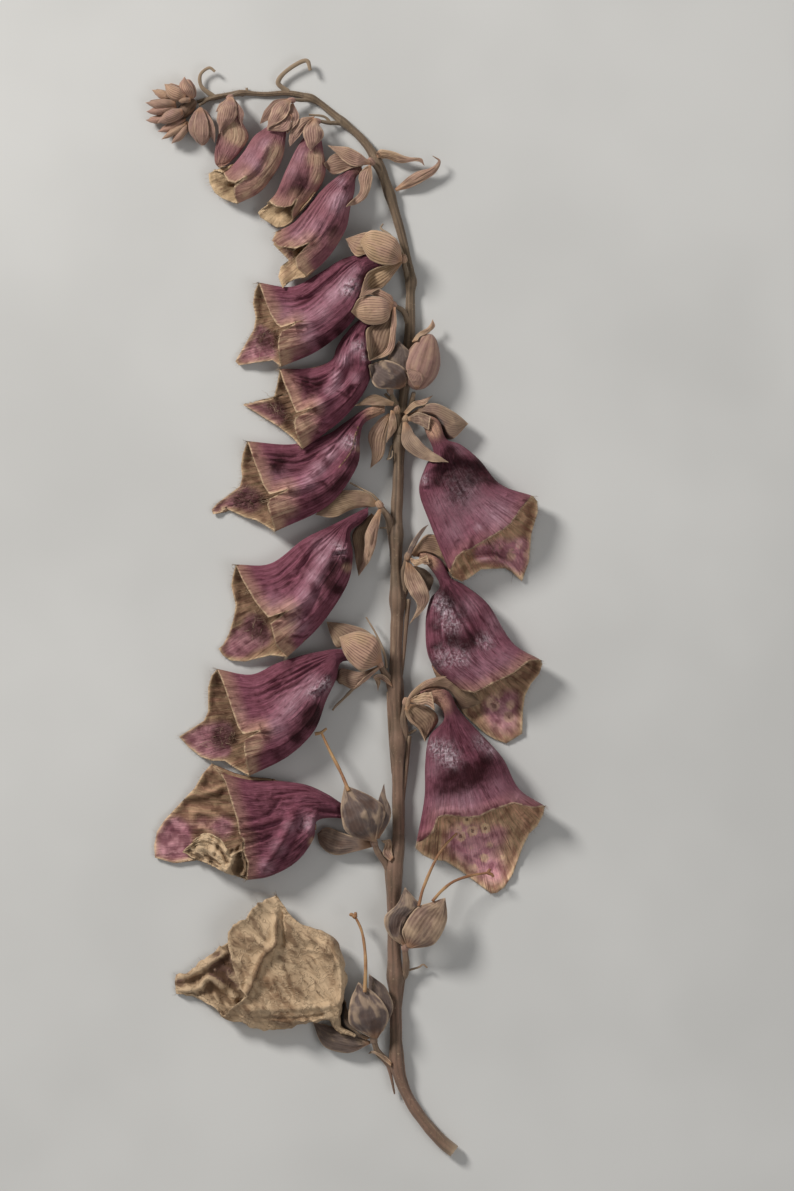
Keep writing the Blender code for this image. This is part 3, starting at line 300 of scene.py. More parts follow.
class Growth(Graph):  # a geometry node tree
    kinds = {float: "NodeSocketFloat", int: "NodeSocketInt"}

    def __init__(self, name, **values):
        self.tree = bpy.data.node_groups.new(name, "GeometryNodeTree")
        self.tree.interface.new_socket("Geometry", in_out="INPUT", socket_type="NodeSocketGeometry")
        self.names = {}
        for key, value in values.items():
            made = self.tree.interface.new_socket(key, in_out="INPUT", socket_type=self.kinds[type(value)])
            made.default_value = value
            self.names[key] = made.identifier
        self.tree.interface.new_socket("Geometry", in_out="OUTPUT", socket_type="NodeSocketGeometry")
        self.entry = self.tree.nodes.new("NodeGroupInput")

    def given(self, name):
        return Socket(self, self.entry.outputs[name])

    def named(self, name, kind="FLOAT"):
        return self.node("GeometryNodeInputNamedAttribute", {"data_type": kind}, {"Name": name})

    def stored(self, geometry, name, value):
        settings = {"data_type": "FLOAT", "domain": "POINT"}
        return self.node("GeometryNodeStoreNamedAttribute", settings, {0: geometry, "Name": name, "Value": value})

    def vectors(self, operation, a, b):
        return self.node("ShaderNodeVectorMath", {"operation": operation}, {0: a, 1: b})

    def scaled(self, vector, factor):
        return self.node("ShaderNodeVectorMath", {"operation": "SCALE"}, {0: vector, 3: factor})

    def finish(self, geometry, material):
        geometry = self.node("GeometryNodeRealizeInstances", {}, {0: geometry})
        geometry = self.node("GeometryNodeSetMaterial", {}, {0: geometry, "Material": material})
        end = self.tree.nodes.new("NodeGroupOutput")
        self.tree.links.new(geometry.link, end.inputs[0])

    def grown(self, name, mesh, **values):  # the plain mesh that the tree makes from this one
        seedBed = bpy.data.objects.new(name + "_bed", mesh)
        bpy.context.scene.collection.objects.link(seedBed)
        modifier = seedBed.modifiers.new("growth", "NODES")
        modifier.node_group = self.tree
        for key, value in values.items():
            modifier[self.names[key]] = value
        grown = bpy.data.meshes.new_from_object(seedBed.evaluated_get(bpy.context.evaluated_depsgraph_get()))
        seedBed.modifiers.remove(modifier)
        bpy.data.objects.remove(seedBed)
        grown.name = name
        grown.polygons.foreach_set("use_smooth", [True] * len(grown.polygons))
        return grown


def shown(name, mesh, slot, *nodes):  # a finished piece, which rides on the frame
    made = bpy.data.objects.new(name, mesh)
    bpy.context.scene.collection.objects.link(made)
    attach(made, "root")
    if nodes:
        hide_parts(*nodes)
    return made


# meshes

def gridFaces(rows, columns, start=0, wrap=True, flip=False):
    r = np.arange(rows - 1)[:, None]
    c = np.arange(columns if wrap else columns - 1)[None, :]
    a = start + r * columns + c
    b = start + r * columns + (c + 1) % columns
    faces = np.stack([a, b, b + columns, a + columns], axis=-1).reshape(-1, 4)
    return (faces[:, ::-1] if flip else faces).tolist()


class Shells:  # closed shells gathered into one mesh, with what the materials read
    def __init__(self):
        self.points, self.faces, self.uv, self.values, self.count = [], [], [], {}, 0

    def add(self, points, faces, uv, **values):
        self.points.append(np.asarray(points, float))
        self.faces += [[i + self.count for i in face] for face in faces]
        self.uv.append(np.asarray(uv, float))
        for key in {**self.values, **values}:
            column = self.values.setdefault(key, [np.zeros(self.count)])
            column.append(np.broadcast_to(np.asarray(values.get(key, 0.0), float).ravel(), (len(points),)))
        self.count += len(points)

    def mesh(self, name, material):
        mesh = bpy.data.meshes.new(name)
        mesh.from_pydata(((np.vstack(self.points) + planShift) * mm).tolist(), [], self.faces)
        corners = np.empty(len(mesh.loops), np.int32)
        mesh.loops.foreach_get("vertex_index", corners)
        layer = mesh.uv_layers.new(name="surface")
        layer.data.foreach_set("uv", np.vstack(self.uv)[corners].ravel())
        for key, columns in self.values.items():
            mesh.attributes.new(key, "FLOAT", "POINT").data.foreach_set("value", np.concatenate(columns))
        mesh.polygons.foreach_set("use_smooth", [True] * len(mesh.polygons))
        mesh.materials.append(material)
        mesh.update()
        return mesh


def normalsOf(grid, wrap=True):  # unit normals of a grid of points, rows across columns
    down = np.gradient(grid, axis=0)
    if wrap:
        across = np.roll(grid, -1, 1) - np.roll(grid, 1, 1)
    else:
        across = np.gradient(grid, axis=1)
    return unit(np.cross(down, across))


# materials

petalTones = {
    "mauve": tone(142, 86, 101), "plum": tone(98, 48, 60), "lilac": tone(196, 156, 168), "burgundy": tone(42, 4, 9),
    "young": tone(156, 112, 110), "cream": tone(212, 186, 150), "peach": tone(176, 140, 116),
    "olive": tone(142, 120, 94), "glaze": tone(208, 192, 198), "amber": tone(224, 180, 148),
    "blush": tone(192, 144, 151), "umber": tone(74, 46, 38),
}
petalTints = {  # painted light and shade: what a colour is multiplied by to look dimmer, brighter, lit or shaded
    "dim": (0.84, 0.8, 0.76), "bright": (1.95, 1.95, 1.9), "light": (1.7, 1.7, 1.75), "shade": (0.34, 0.22, 0.25),
}
petalScales = {  # noise scales for metres
    "cloud": 240.0, "speck": 1500.0, "wide": 90.0, "leather": 620.0, "tangle": 700.0, "cells": 300.0, "crackle": 900.0,
}


def petalPaint(name, tones, tints, scales):
    p = Paint(name, Sheen_Weight=0.015, Specular_IOR_Level=0.12)
    rim, inner, crest = p.attribute("rim"), p.attribute("inner"), p.attribute("crest")
    place = p.place()
    streak = p.noise(p.surface(0.12, 1.3), 1.0, 7.0, 0.68, 0.3)
    fibre = p.noise(p.surface(0.5, 3.0), 1.0, 4.0, 0.62, 0.4)
    cloud = p.noise(place, scales["cloud"], 6.0, 0.64, 0.6)
    speck = p.noise(place, scales["speck"], 3.0, 0.6)
    wide = p.noise(place, scales["wide"], 3.0, 0.6)
    leather = p.noise(place, scales["leather"], 5.0, 0.7, 0.8)
    drape = abs(p.noise(p.surface(0.04, 0.5), 1.0, 3.0, 0.55, 0.3) - 0.5)
    crease = p.between(drape, 0.028, 0.0) * p.between(wide, 0.4, 0.6)
    streaky = p.between(streak, 0.34, 0.66)
    cloudy = p.between(cloud, 0.34, 0.66)

    young = p.attribute("young")
    outer = p.mix((streaky * 0.55 + cloudy * 0.25) * (1.0 - young * 0.8), tones["mauve"], tones["plum"])
    outer = p.mix(young * (0.7 + cloudy * 0.3), outer, tones["young"])
    # pale patches: partly a paler lilac tone, partly a painted highlight along lit ridges
    outer = p.mix(p.attribute("pale") * (0.4 + streaky * 0.45), outer, tones["lilac"])
    # dark patches: partly burgundy stain, partly painted shade on bellies, undersides and dimples
    outer = p.layers(outer, tones, (p.attribute("dark") * (0.75 + cloudy * 0.5), 0.05, 1.0, 0.9, "burgundy"))
    tan = p.mix(streaky, tones["cream"], tones["peach"])
    outer = p.mix(p.between(p.attribute("tan") + (cloud - 0.5) * 0.5, 0.05, 1.1) * 0.75, outer, tan)
    margin = p.between(rim + (streak - 0.5) * 2.6 + (wide - 0.5) * 2.0, 4.4, 0.0)
    outer = p.mix(margin * (1.0 - p.attribute("lit") * 0.8) * 0.68, outer, tones["peach"])
    stripes = p.between(p.noise(p.surface(0.05, 3.4), 1.0, 3.0, 0.5), 0.42, 0.62)
    outer = p.mix(p.attribute("warm") * (1.0 - stripes * 0.75), outer, tones["amber"])

    brown = p.mix(streaky, tones["olive"], tones["peach"])
    blush = p.mix(cloudy * 0.7, tones["blush"], tones["mauve"])
    inside = p.mix(p.between(p.attribute("blush") + (cloud - 0.5) * 0.5, 0.25, 0.9), brown, blush)
    tangle = p.noise(place, scales["tangle"], 6.0, 0.7, 2.5)
    hair = p.attribute("hair")
    inside = p.layers(inside, tones, (hair, 0.2, 0.9, 0.6, "umber"))
    inside = p.mix(hair * p.between(tangle, 0.42, 0.6) * 0.7, inside, tones["umber"])
    cells = {"Vector": place, "Scale": scales["cells"], "Randomness": 1.0}
    ring = p.node("ShaderNodeTexVoronoi", {"feature": "F1", "distance": "EUCLIDEAN"}, cells)
    ring = ring + (speck - 0.5) * 0.25 + (cloud - 0.5) * 0.5
    spots = p.attribute("spots") * (0.6 + cloudy * 0.4)
    inside = p.mix(spots * p.between(ring, 0.5, 0.3) * 0.8, inside, tones["cream"])
    inside = p.mix(spots * p.between(ring, 0.16, 0.08), inside, tones["umber"])
    inside = p.mix(p.between(rim + (streak - 0.5) * 1.5, 1.8, 0.0) * 0.5, inside, tan)
    inside = p.mix(young * 1.4, inside, p.mix(cloudy * 0.8, tones["cream"], tones["olive"]))
    # painted light: the inside is dimmed, or brightened by each bell's lit share, to look shaded or lit
    dim = p.tinted(inside, tints["dim"])
    inside = p.mix(p.attribute("lit"), dim, p.tinted(inside, tints["bright"]))

    colour = p.mix(inner, outer, inside)
    colour = p.layers(colour, tones, (rim + (cloud - 0.5) * 1.2 + (speck - 0.5) * 0.4, 0.5, 0.1, 0.7, "cream"))
    # glossy crinkled patches: lower roughness, with a painted whitish sheen mixed into the colour
    crackle = p.between(p.noise(place, scales["crackle"], 4.0, 0.65, 1.2), 0.42, 0.6)
    glaze = p.attribute("glaze") * (0.2 + crackle * 0.8)
    colour = p.mix(glaze * 0.8, colour, tones["glaze"])
    # painted highlight on crests and painted shade in hollows, in fine fibre and leather grooves and along drape
    # creases
    light = p.tinted(colour, tints["light"])
    calm = 1.0 - young * (0.5 + inner * 0.3) - inner * 0.3
    colour = p.mix(p.between(crest, 0.1, 1.0) * (1.0 - inner * 0.35) * 0.5, colour, light)
    paintedLightShade = {"light": light, "shade": p.tinted(colour, tints["shade"])}
    colour = p.mix(p.between(crest, -0.05, -0.95) * calm * 0.8, colour, paintedLightShade["shade"])
    colour = p.mix(p.between(fibre, 0.52, 0.34) * calm * 0.42, colour, paintedLightShade["shade"])
    colour = p.layers(
        colour, paintedLightShade, (fibre, 0.55, 0.72, 0.35, "light"), (leather, 0.54, 0.68, 0.35, "shade"),
        (leather, 0.44, 0.32, 0.3, "light"),
    )
    # painted shade along the thin drape creases
    colour = p.mix(crease * 0.75, colour, paintedLightShade["shade"])
    roughness = 0.58 + (cloud - 0.5) * 0.2 - glaze * 0.28
    bumps = [(cloud, 0.8, 0.4), (streak, 0.9, 0.5), (fibre, 0.9, 0.28), (crease, -0.6, 0.3), (leather, -0.7, 0.25)]
    return p.finish(colour, roughness, bumps)


petalMaterial = petalPaint("driedPetal", petalTones, petalTints, petalScales)

parchmentTones = {
    "light": tone(208, 180, 146), "mid": tone(150, 120, 92), "fold": tone(100, 73, 50), "stain": tone(104, 74, 66),
}
parchmentScales = {"broad": 55.0, "crease": 130.0, "fine": 340.0, "speck": 1300.0}


def parchmentPaint(name, tones, scales):
    p = Paint(name, Sheen_Weight=0.05, Specular_IOR_Level=0.3)
    place = p.place()
    crest = p.attribute("crest")
    broad = p.noise(place, scales["broad"], 4.0, 0.55, 0.8)
    vein = p.noise(p.surface(0.1, 1.4), 1.0, 7.0, 0.68, 0.7)
    folded = p.between(abs(p.noise(place, scales["crease"], 4.0, 0.5, 0.6) - 0.5), 0.02, 0.0)
    ridged = p.between(abs(p.noise(place, scales["fine"], 3.0, 0.5, 0.4) - 0.5), 0.035, 0.0)
    speck = p.noise(place, scales["speck"], 4.0, 0.65)
    colour = p.mix(p.between(broad, 0.38, 0.62), tones["light"], tones["mid"])
    colour = p.layers(colour, tones, (vein, 0.5, 0.72, 0.5, "fold"), (vein, 0.46, 0.3, 0.4, "light"))
    # painted shade along crease lines and painted highlight along fine ridges
    colour = p.mix(folded * 0.5, colour, tones["fold"])
    colour = p.mix(ridged * 0.45, colour, tones["light"])
    colour = p.layers(colour, tones, (p.attribute("blush") + (broad - 0.5) * 0.6, 0.25, 0.75, 0.85, "stain"))
    colour = p.mix(p.attribute("dark") * 0.6, colour, tones["fold"])
    # darker specks and a paler rim, with painted highlight on crests and painted shade in hollows
    colour = p.layers(
        colour, tones, (speck, 0.56, 0.72, 0.35, "fold"), (p.attribute("rim"), 0.7, 0.1, 0.5, "light"),
        (crest, 0.1, 0.9, 0.7, "light"), (crest, -0.1, -0.9, 0.7, "fold"),
    )
    bumps = [(vein, 0.7, 0.4), (folded, -0.8, 0.4), (ridged, 0.7, 0.25), (speck, 0.3, 0.1)]
    return p.finish(colour, 0.7 + (broad - 0.5) * 0.2, bumps)


parchmentMaterial = parchmentPaint("witheredPetal", parchmentTones, parchmentScales)

sepalTones = {
    "tan": tone(186, 153, 118), "pink": tone(190, 148, 128), "grey": tone(109, 92, 86), "taupe": tone(91, 77, 72),
    "rosy": tone(176, 128, 120), "vein": tone(84, 56, 42), "edge": tone(214, 184, 152), "amber": tone(186, 134, 92),
    "shade": tone(86, 68, 46),
}
sepalScales = {"cloud": 280.0, "broad": 110.0}


def sepalPaint(name, tones, scales):
    p = Paint(name, Sheen_Weight=0.15, Specular_IOR_Level=0.35)
    place = p.place()
    cloud = p.noise(place, scales["cloud"], 5.0, 0.62, 0.6)
    broad = p.noise(place, scales["broad"], 4.0, 0.6)
    fleck = p.noise(p.surface(0.7, 2.5), 1.0, 6.0, 0.68, 0.4)
    grey, along, edge, crest, veined = (p.attribute(key) for key in ("grey", "along", "edge", "crest", "veined"))
    cloudy = p.between(cloud, 0.34, 0.66)
    across = p.node("ShaderNodeSeparateXYZ", {}, {0: p.surface()}, 1)
    wave = p.node("ShaderNodeMath", {"operation": "COSINE"}, {0: across * (2 * math.pi) + (fleck - 0.5) * 2.2})
    broken = p.between(p.noise(p.surface(0.3, 1.0), 1.0, 3.0, 0.6), 0.3, 0.55)
    vein = p.between(wave, 0.45, 1.0) * broken
    warm = p.mix(p.between(broad, 0.38, 0.62), tones["tan"], tones["pink"])
    ashen = p.mix(p.between(broad, 0.3, 0.7), tones["grey"], tones["taupe"])
    warm = p.mix(p.attribute("rosy") * (0.5 + cloudy * 0.5), warm, tones["rosy"])
    colour = p.mix(grey * (0.75 + cloudy * 0.25), warm, ashen)
    colour = p.layers(colour, tones, (fleck, 0.5, 0.7, 0.22, "vein"))
    colour = p.mix(p.between(wave, -0.3, -1.0) * veined * 0.35, colour, tones["edge"])
    colour = p.mix(vein * veined * 0.8, colour, tones["vein"])
    # amber towards the base and paler along the edges; painted highlight on crests and painted shade in hollows
    colour = p.layers(
        colour, tones, (along, 0.22, 0.0, 0.5, "amber"), (edge + (cloud - 0.5) * 0.3, 0.84, 1.0, 0.6, "edge"),
        (crest, 0.0, 0.8, 0.35, "edge"), (crest, -0.05, -0.8, 0.5, "vein"),
    )
    # painted shade on sheets tucked under bells, on under faces and between scales
    colour = p.mix(p.attribute("lining") * 0.75, colour, tones["shade"])
    bumps = [(cloud, 0.7, 0.35), (fleck, 0.7, 0.25), (wave * veined, -0.7, 0.2)]
    return p.finish(colour, 0.66 + (cloud - 0.5) * 0.2, bumps)


sepalMaterial = sepalPaint("driedSepal", sepalTones, sepalScales)

stemTones = {
    "bark": tone(111, 89, 71), "rose": tone(130, 101, 84), "moss": tone(118, 102, 80), "groove": tone(68, 55, 43),
    "pale": tone(172, 150, 124),
}
stemScales = {"cloud": 120.0, "grain": 1500.0, "fleck": 1400.0}


def stemPaint(name, tones, scales):
    p = Paint(name, Sheen_Weight=0.2, Specular_IOR_Level=0.35)
    place = p.place()
    cloud = p.noise(place, scales["cloud"], 5.0, 0.6)
    lengthwise = p.node("ShaderNodeMapping", {}, {"Vector": place, "Scale": (1.0, 0.12, 1.0)})
    grainy = p.noise(lengthwise, scales["grain"], 5.0, 0.65)
    fleck = p.noise(place, scales["fleck"], 3.0, 0.6)
    rib = p.attribute("rib")
    colour = p.mix(p.between(cloud, 0.36, 0.6), tones["bark"], tones["rose"])
    upward = p.node("ShaderNodeSeparateXYZ", {}, {0: place}, 1)  # greener towards the tip
    # painted highlight on rib tops and painted shade in rib grooves; grain and flecks are the stem's own
    colour = p.layers(
        colour, tones, (upward + (cloud - 0.5) * 0.05, -0.06, 0.08, 0.65, "moss"), (rib, 0.1, -0.9, 0.7, "groove"),
        (rib, 0.4, 1.0, 0.5, "pale"), (grainy, 0.54, 0.7, 0.5, "groove"), (fleck, 0.6, 0.72, 0.4, "pale"),
    )
    colour = p.mix(p.attribute("bare") * 0.85, colour, tones["pale"])
    return p.finish(colour, 0.66 + (cloud - 0.5) * 0.15, [(grainy, 0.6, 0.14), (rib, 0.4, 0.15), (fleck, 0.3, 0.06)])


stemMaterial = stemPaint("driedStem", stemTones, stemScales)

styleTones = {"straw": tone(188, 150, 104), "rust": tone(140, 96, 66), "tip": tone(206, 184, 150)}
styleScales = {"cloud": 160.0, "grain": 1200.0}


def stylePaint(name, tones, scales):
    p = Paint(name, Specular_IOR_Level=0.4)
    place = p.place()
    cloud = p.noise(place, scales["cloud"], 4.0, 0.6)
    grainy = p.noise(place, scales["grain"], 4.0, 0.65)
    colour = p.mix(p.between(cloud, 0.35, 0.65), tones["straw"], tones["rust"])
    # painted shade in the rib grooves, in the rust tone; the pale specks are the style's own
    colour = p.layers(colour, tones, (p.attribute("rib"), 0.2, -0.9, 0.5, "rust"), (grainy, 0.56, 0.7, 0.4, "tip"))
    return p.finish(colour, 0.55 + (cloud - 0.5) * 0.2, [(grainy, 0.5, 0.1)])


styleMaterial = stylePaint("driedStyle", styleTones, styleScales)

hairTones = {"root": tone(104, 78, 62), "tip": tone(190, 168, 138)}


def hairPaint(name, tones):
    p = Paint(name, Specular_IOR_Level=0.4)
    sway = p.noise(p.place(), 400.0, 3.0, 0.6)
    colour = p.mix(p.between(sway, 0.4, 0.62), tones["root"], tones["tip"])
    return p.finish(colour, 0.5 + sway * 0.2, [(sway, 0.2, 0.02)])


hairMaterial = hairPaint("driedHair", hairTones)
print("materials made")


# the stem first, because everything else lies on it: a tube that follows a path, with lengthwise ribs

stalkTree = Growth("stalkTube", Sides=20, Ribs=7.0, RibDepth=0.06, Seed=0.0)


def buildStalkTree(g, material):
    curve = g.node("GeometryNodeMeshToCurve", {}, {0: g.given("Geometry")})
    ring = g.node("GeometryNodeCurvePrimitiveCircle", {}, {"Resolution": g.given("Sides"), "Radius": 1.0})
    ring = g.stored(ring, "turn", g.node("GeometryNodeSplineParameter", {}, {}))
    curve = g.stored(curve, "run", g.node("GeometryNodeSplineParameter", {}, {}, 1))
    sockets = {"Curve": curve, "Profile Curve": ring, "Scale": g.named("reach"), "Fill Caps": True}
    tube = g.node("GeometryNodeCurveToMesh", {}, sockets)
    angle = g.named("turn") * (2 * math.pi)
    ripple = g.node("ShaderNodeMath", {"operation": "COSINE"}, {0: angle * g.given("Ribs") + g.named("run") * 60.0})
    around = g.node("ShaderNodeCombineXYZ", {}, {
        0: g.node("ShaderNodeMath", {"operation": "COSINE"}, {0: angle}),
        1: g.node("ShaderNodeMath", {"operation": "SINE"}, {0: angle}),
        2: g.named("run") * 45.0 + g.given("Seed"),
    })
    uneven = g.node("ShaderNodeTexNoise", {}, {"Vector": around, "Scale": 1.6, "Detail": 3.0})
    rib = ripple * 0.55 + (uneven - 0.5) * 2.4
    tube = g.stored(tube, "rib", rib)
    push = g.scaled(g.node("GeometryNodeInputNormal", {}, {}), rib * g.given("RibDepth") * g.named("reach"))
    tube = g.node("GeometryNodeSetPosition", {}, {0: tube, "Offset": push})
    g.finish(tube, material)


buildStalkTree(stalkTree, stemMaterial)
styleTree = Growth("styleTube", Sides=10, Ribs=2.0, RibDepth=0.12, Seed=3.0)
buildStalkTree(styleTree, styleMaterial)
curlTree = Growth("curlTube", Sides=10, Ribs=2.0, RibDepth=0.18, Seed=5.0)
buildStalkTree(curlTree, stemMaterial)


def pathMesh(name, lines):  # open lines of points, each with its radii and bareness
    points, edges, reach, bare = [], [], [], []
    for line, radii, bareness in lines:
        start = len(points)
        points += ((np.asarray(line, float) + planShift) * mm).tolist()
        edges += [(start + i, start + i + 1) for i in range(len(line) - 1)]
        reach += (np.asarray(radii, float) * mm).tolist()
        bare += list(bareness)
    mesh = bpy.data.meshes.new(name)
    mesh.from_pydata(points, edges, [])
    mesh.attributes.new("reach", "FLOAT", "POINT").data.foreach_set("value", reach)
    mesh.attributes.new("bare", "FLOAT", "POINT").data.foreach_set("value", bare)
    return mesh


def layDown(mesh):  # adds a grown mesh to the map of heights
    points = np.empty(len(mesh.vertices) * 3)
    mesh.vertices.foreach_get("co", points)
    laid.add(points.reshape(-1, 3) / mm - planShift)


stemShape = {
    "samples": 560, "stalkSamples": 40, "ridgeSamples": 60, "stalkEnd": 0.97, "uneven": 0.05, "waver": 0.12,
    "ribs": 7.0, "ribDepth": 0.1,
}
stemLine = way(  # x, y, radius
    "27.2 -135.3 1.55, 24 -132.7 1.5, 20 -128.1 1.45, 17 -123.9 1.4, 14.8 -119.6 1.4, 13.2 -114.5 1.65, "
    "12.8 -109 1.5, 12.7 -100 1.5, 12.5 -90 1.65, 12.2 -76 1.6, 12.4 -65 1.8, 13.3 -58 1.6, 13.3 -45 1.5, "
    "13.2 -33 1.7, 12.7 -20 1.7, 12.8 -8 1.5, 13.1 2 1.65, 12.8 12 1.45, 12.8 21 1.55, 13.3 32 1.35, 13.5 41 1.4, "
    "14.2 50 1.2, 15.3 59 1.25, 16.1 68 1.35, 16.3 78 1.1, 16.4 83 1.05, 15.5 88 0.9, 14 94 1.05, 12.3 100 1.15, "
    "10.7 105 1.2, 8.9 110 1.15, 6.2 115 1, 3.4 118.4 0.95, 0 121.4 0.9, -3.5 124.3 0.85, -6.8 126.9 0.8, "
    "-10 128.3 0.75, -14.5 129.1 0.7, -20 128.8 0.6, -25.5 129.1 0.6, -29.5 128.6 0.6, -33.5 127.8 0.5, "
    "-37 126.9 0.45"
)
stalkTable = creases(  # one row for each flower from the lowest: points from inside the stem to the calyx, radius
    "12.9 -115.5 1.6, 10.2 -112.6 2.2, 8.2 -110.4 3.4, 7.3 -107.6 4.4 / 1; "
    "13.6 -93.5 1.6, 14.9 -90.6 2.2, 15.2 -87.8 3.6, 15 -84.6 4.6 / 1; "
    "12.2 -67.5 1.6, 10.3 -63.8 2.4, 8.3 -60.6 3.8, 7.4 -58.4 4.6 / 1; "
    "13.6 -35.5 1.6, 14.9 -31.2 2.2, 14.6 -27.2 3.8, 15.2 -23.4 4.8 / 1; "
    "12.2 -22.5 1.6, 11 -18 2.4, 9.9 -15.8 4, 8.9 -13.9 4.8 / 1; "
    "13.4 0.5 1.6, 14.9 5.4 2.2, 14.8 9.6 3.8, 15.6 12.8 4.8 / 1; "
    "12.4 16.5 1.5, 11.2 20.2 2.4, 10.6 23.2 4.2, 8.9 25.7 5 / 1; "
    "13.4 40 1.4, 13.8 44.2 2.8, 15 47 4.6 / 0.9; "
    "13.6 43 1.4, 13.5 46.4 2.6, 13 49.4 4.6 / 0.9; "
    "14.2 46.6 1.2, 16.3 50.8 2.4, 17.3 54.2 4 / 0.8; "
    "13.9 48 1.2, 12.6 51.2 3.4, 11.4 54.2 5.6 / 0.8; "
    "16.2 71 1.2, 14.6 74.2 3, 12.3 75.8 4.6 / 0.8; "
    "16.4 80 1.1, 15.2 84 2.2, 14.8 87 4 / 0.8; "
    "9.9 107 1.1, 8.2 109.6 2.4, 6.8 111.3 3.8 / 0.7; "
    "-0.5 121.6 0.8, -3.4 121.4 2.2, -6.6 121.7 3.4 / 0.6; "
    "-7.5 127.3 0.7, -10.4 127.2 2, -12.9 127 3.2 / 0.55; "
    "-25.5 129 0.6, -27.4 128.6 1.8, -28.4 127.9 3 / 0.55; "
    "-33 127.8 0.5, -35 126.8 1.4, -36.4 125.6 2.4 / 0.45"
)
stalkLines = {f"{n:02}": row for n, row in enumerate(stalkTable, 1)}
stalkSwellings = way(  # where a stalk leaves the stem: x, y, share added to the radius, reach
    "27.2 -135.3 0.06 3, 12.8 -112.5 0.22 3, 13.4 -91.5 0.25 2.6, 12.2 -66.5 0.2 4, 13.4 -33.5 0.28 2.6, "
    "12.4 -19.5 0.2 4, 13.3 2.5 0.25 2.6, 12.6 18.5 0.2 3, 13.4 41.5 0.25 3, 14.2 49 0.15 2.5, 15.8 66 0.15 2, "
    "16.4 81.8 0.32 1.6, 12.4 103.5 0.2 2, 8.4 112 0.2 2.5, -0.5 121.6 0.25 2, -8.4 127.8 0.4 1.6, "
    "-26.0 129.2 0.3 1.6, -32.6 128.2 0.3 1.4"
)
stemRidges = creases(  # the stalks' own ridges, which run down along the stem: points, radius
    "15.9 2.6 2.3, 15.3 -4 2.1, 14.6 -12 1.7, 13.9 -19 1.3 / 0.62; "
    "16.0 -31.5 2.2, 15.5 -38 2.0, 14.8 -45 1.7, 14.0 -54 1.3 / 0.62; "
    "14.9 -89.6 2.1, 14.4 -94 1.9, 13.7 -101 1.4 / 0.6; "
    "10.9 -20.5 2.2, 11.2 -30 1.9, 11.8 -41 1.5 / 0.5; "
    "10.4 -64.5 2.3, 10.9 -72 2.0, 11.4 -82 1.6 / 0.55; "
    "10.2 -112.2 2.2, 11.4 -116 2.0, 12.4 -121 1.6 / 0.5; "
    "15.2 85.2 1.9, 15.9 80 1.8, 16.2 72 1.6 / 0.45"
)


def stemPiece():
    x, y, r = curveAt(stemLine, np.linspace(0, 1, stemShape["samples"])).T
    for kx, ky, share, reach in stalkSwellings:
        r = r * (1 + share * np.exp(-(((x - kx) ** 2 + (y - ky) ** 2) / reach**2)))
    r = r * (1 + stemShape["uneven"] * grain(y * 0.35, x * 0.35, 5))
    bare = np.exp(-np.arange(len(x)) / 5.0)
    lines = [(np.stack([x, y, r * 1.06], axis=1), r, bare)]
    for points, radius in stalkLines.values():
        t = np.linspace(0, stemShape["stalkEnd"], stemShape["stalkSamples"])
        path = curveAt(points, t)
        path[:, :2] += stemShape["waver"] * np.stack([grain(t * 4, t, 7 + radius), grain(t * 4, t, 9 + radius)], axis=1)
        foot = 1 + 0.25 * np.exp(-((t / 0.12) ** 2))
        radii = radius * (1.02 - 0.34 * t) * foot * (1 + 0.08 * grain(t * 9, t, radius))
        lines.append((path, radii, np.full(len(t), 0.15)))
    for points, radius in stemRidges:
        t = np.linspace(0, 1, stemShape["ridgeSamples"])
        lines.append((curveAt(points, t), radius * (0.25 + 0.75 * np.sqrt(1 - t * 0.98)), np.exp(-t * 16) * 0.8))
    paths = pathMesh("stalkPaths", lines)
    mesh = stalkTree.grown("stalks", paths, Ribs=stemShape["ribs"], RibDepth=stemShape["ribDepth"])
    layDown(mesh)
    return shown("stalks", mesh, "stem", "stem")


stemObject = stemPiece()
print("stem and stalks made:", len(stemObject.data.polygons), "faces")


# the bells: pressed cups with an upper and a lower wall, each with its own folds

bellMake = {
    "rows": 120, "sides": 196, "youngRows": 84, "youngSides": 132, "wall": 0.3, "neckStart": 0.05, "ceiling": 11.7,
    "clearUpper": 1.5, "clearSide": 0.8, "clearLower": 0.05,
}
plainBell = {
    "profile": None, "paper": 0, "closed": 0, "young": 0.0, "lit": 0.0, "wrinkle": 0.17, "lumps": 0.2, "crush": 0.16,
    "folds": [], "lip": [],
}


def bellLook(**look):  # one bell's dictionary, with its texts read as points and creases
    for name, value in look.items():
        if isinstance(value, str):
            look[name] = creases(value) if name in ("folds", "lip") else way(value)
    return {**plainBell, **look}
